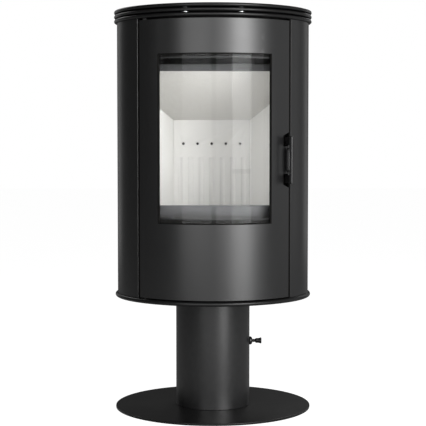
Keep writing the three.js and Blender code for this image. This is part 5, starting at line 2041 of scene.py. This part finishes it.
@dataclass
class Studio:
    """The camera, the floor, the soft lights and the surroundings."""

    focal: float = 111.8
    camera_bearing: float = -1.3
    camera_distance: float = 3.478
    camera_height: float = 0.710
    camera_pitch: float = -3.27
    camera_turn: float = -0.007
    floor_side: float = 30.0
    floor_colour: Colour = (0.45, 0.45, 0.45)
    floor_glow: float = 0.06
    floor_seen: float = 0.9
    ambient: float = 0.06
    softboxes: tuple[Softbox, ...] = (
        Softbox("key_core", 32.5, 2.6, 1.05, 1.45, 1.3, 5.6),
        Softbox("key_low", 32.5, 2.6, 1.05, 0.55, 0.28, 3.5),
        Softbox("key_flank", 51.0, 2.6, 0.85, 1.75, 1.2, 1.4),
        Softbox("key_halo", 22.0, 2.7, 1.90, 1.85, 1.15, 1.9),
        Softbox("right_fill", 95.0, 2.7, 2.40, 1.95, 1.1, 0.32),
        Softbox("fill", -20.0, 2.6, 1.60, 1.8, 1.15, 1.9),
        Softbox("hearth", -12.0, 0.20, 0.20, 0.30, 0.66, 0.8),
        Softbox("edge_strip", -63.0, 2.6, 0.10, 1.9, 1.75, 1.2),
        Softbox("rear_right", 143.0, 2.8, 0.7, 1.95, 1.1, 0.45),
        Softbox("rear_left", -148.0, 2.8, 0.7, 1.95, 1.1, 0.45),
        Softbox("rear_key", 158.0, 2.8, 1.2, 1.3, 2.6, 3.5),
        Softbox("rear_fill", -140.0, 2.8, 1.0, 1.3, 2.6, 2.0),
    )

    def build(self) -> None:
        """Sets up everything round the stove."""
        self.camera()
        self.floor()
        self.world()
        for softbox in self.softboxes:
            softbox.build()
        bpy.context.scene.view_settings.view_transform = "Standard"
        bpy.context.scene.view_settings.look = "None"

    def camera(self) -> None:
        """The camera, a little to the left of the front, looking slightly down."""
        data = bpy.data.cameras.new("camera")
        data.sensor_width = SENSOR_WIDTH
        data.lens = self.focal
        data.clip_end = 100.0
        camera = bpy.data.objects.new("camera", data)
        camera.location = at(self.camera_bearing, self.camera_distance, self.camera_height)
        camera.rotation_euler = (
            math.radians(90 + self.camera_pitch), 0, math.radians(self.camera_bearing + self.camera_turn)
        )
        bpy.context.scene.collection.objects.link(camera)
        bpy.context.scene.camera = camera

    def floor(self) -> None:
        """A plain pale floor."""
        half = self.floor_side / 2
        shell = bmesh.new()
        corners = ((-half, -half, 0), (half, -half, 0), (half, half, 0), (-half, half, 0))
        shell.faces.new([shell.verts.new(corner) for corner in corners])
        floor = new_piece("studio_floor", shell)
        material = bpy.data.materials.new("studio_floor")
        material.use_nodes = True
        tree = material.node_tree
        shader = tree.nodes["Principled BSDF"]
        shader.inputs["Base Color"].default_value = (*self.floor_colour, 1)
        shader.inputs["Roughness"].default_value = 0.95
        shader.inputs["Specular IOR Level"].default_value = 0.1
        shader.inputs["Emission Color"].default_value = (1, 1, 1, 1)
        seen = add_node(tree, "ShaderNodeLightPath").outputs["Is Camera Ray"]
        extra = add_math(tree, "MULTIPLY", seen, self.floor_seen)
        tree.links.new(add_math(tree, "ADD", extra, self.floor_glow), shader.inputs["Emission Strength"])
        floor.data.materials.append(material)

    def world(self) -> None:
        """Surroundings that light the stove dimly and are white where they are seen directly."""
        world = bpy.data.worlds.new("studio")
        world.use_nodes = True
        tree = world.node_tree
        seen = add_node(tree, "ShaderNodeLightPath").outputs["Is Camera Ray"]
        strength = add_math(tree, "MAXIMUM", seen, self.ambient)
        tree.links.new(strength, tree.nodes["Background"].inputs["Strength"])
        tree.nodes["Background"].inputs["Color"].default_value = (1, 1, 1, 1)
        bpy.context.scene.world = world


# ------------------------------------------------------------------------------ the whole stove


def main() -> None:
    """Builds the studio and every sub-assembly."""
    logging.basicConfig(level=logging.INFO, format="%(name)s: %(message)s")
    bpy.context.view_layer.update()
    Studio().build()
    palette = Palette()
    for assembly in (Pedestal, AirControl, Casing, Firebox, AshDrawer, Door, Handle):
        assembly(palette).build()
        log.info("%s done", assembly.__name__)


if __name__ == "__main__":
    main()
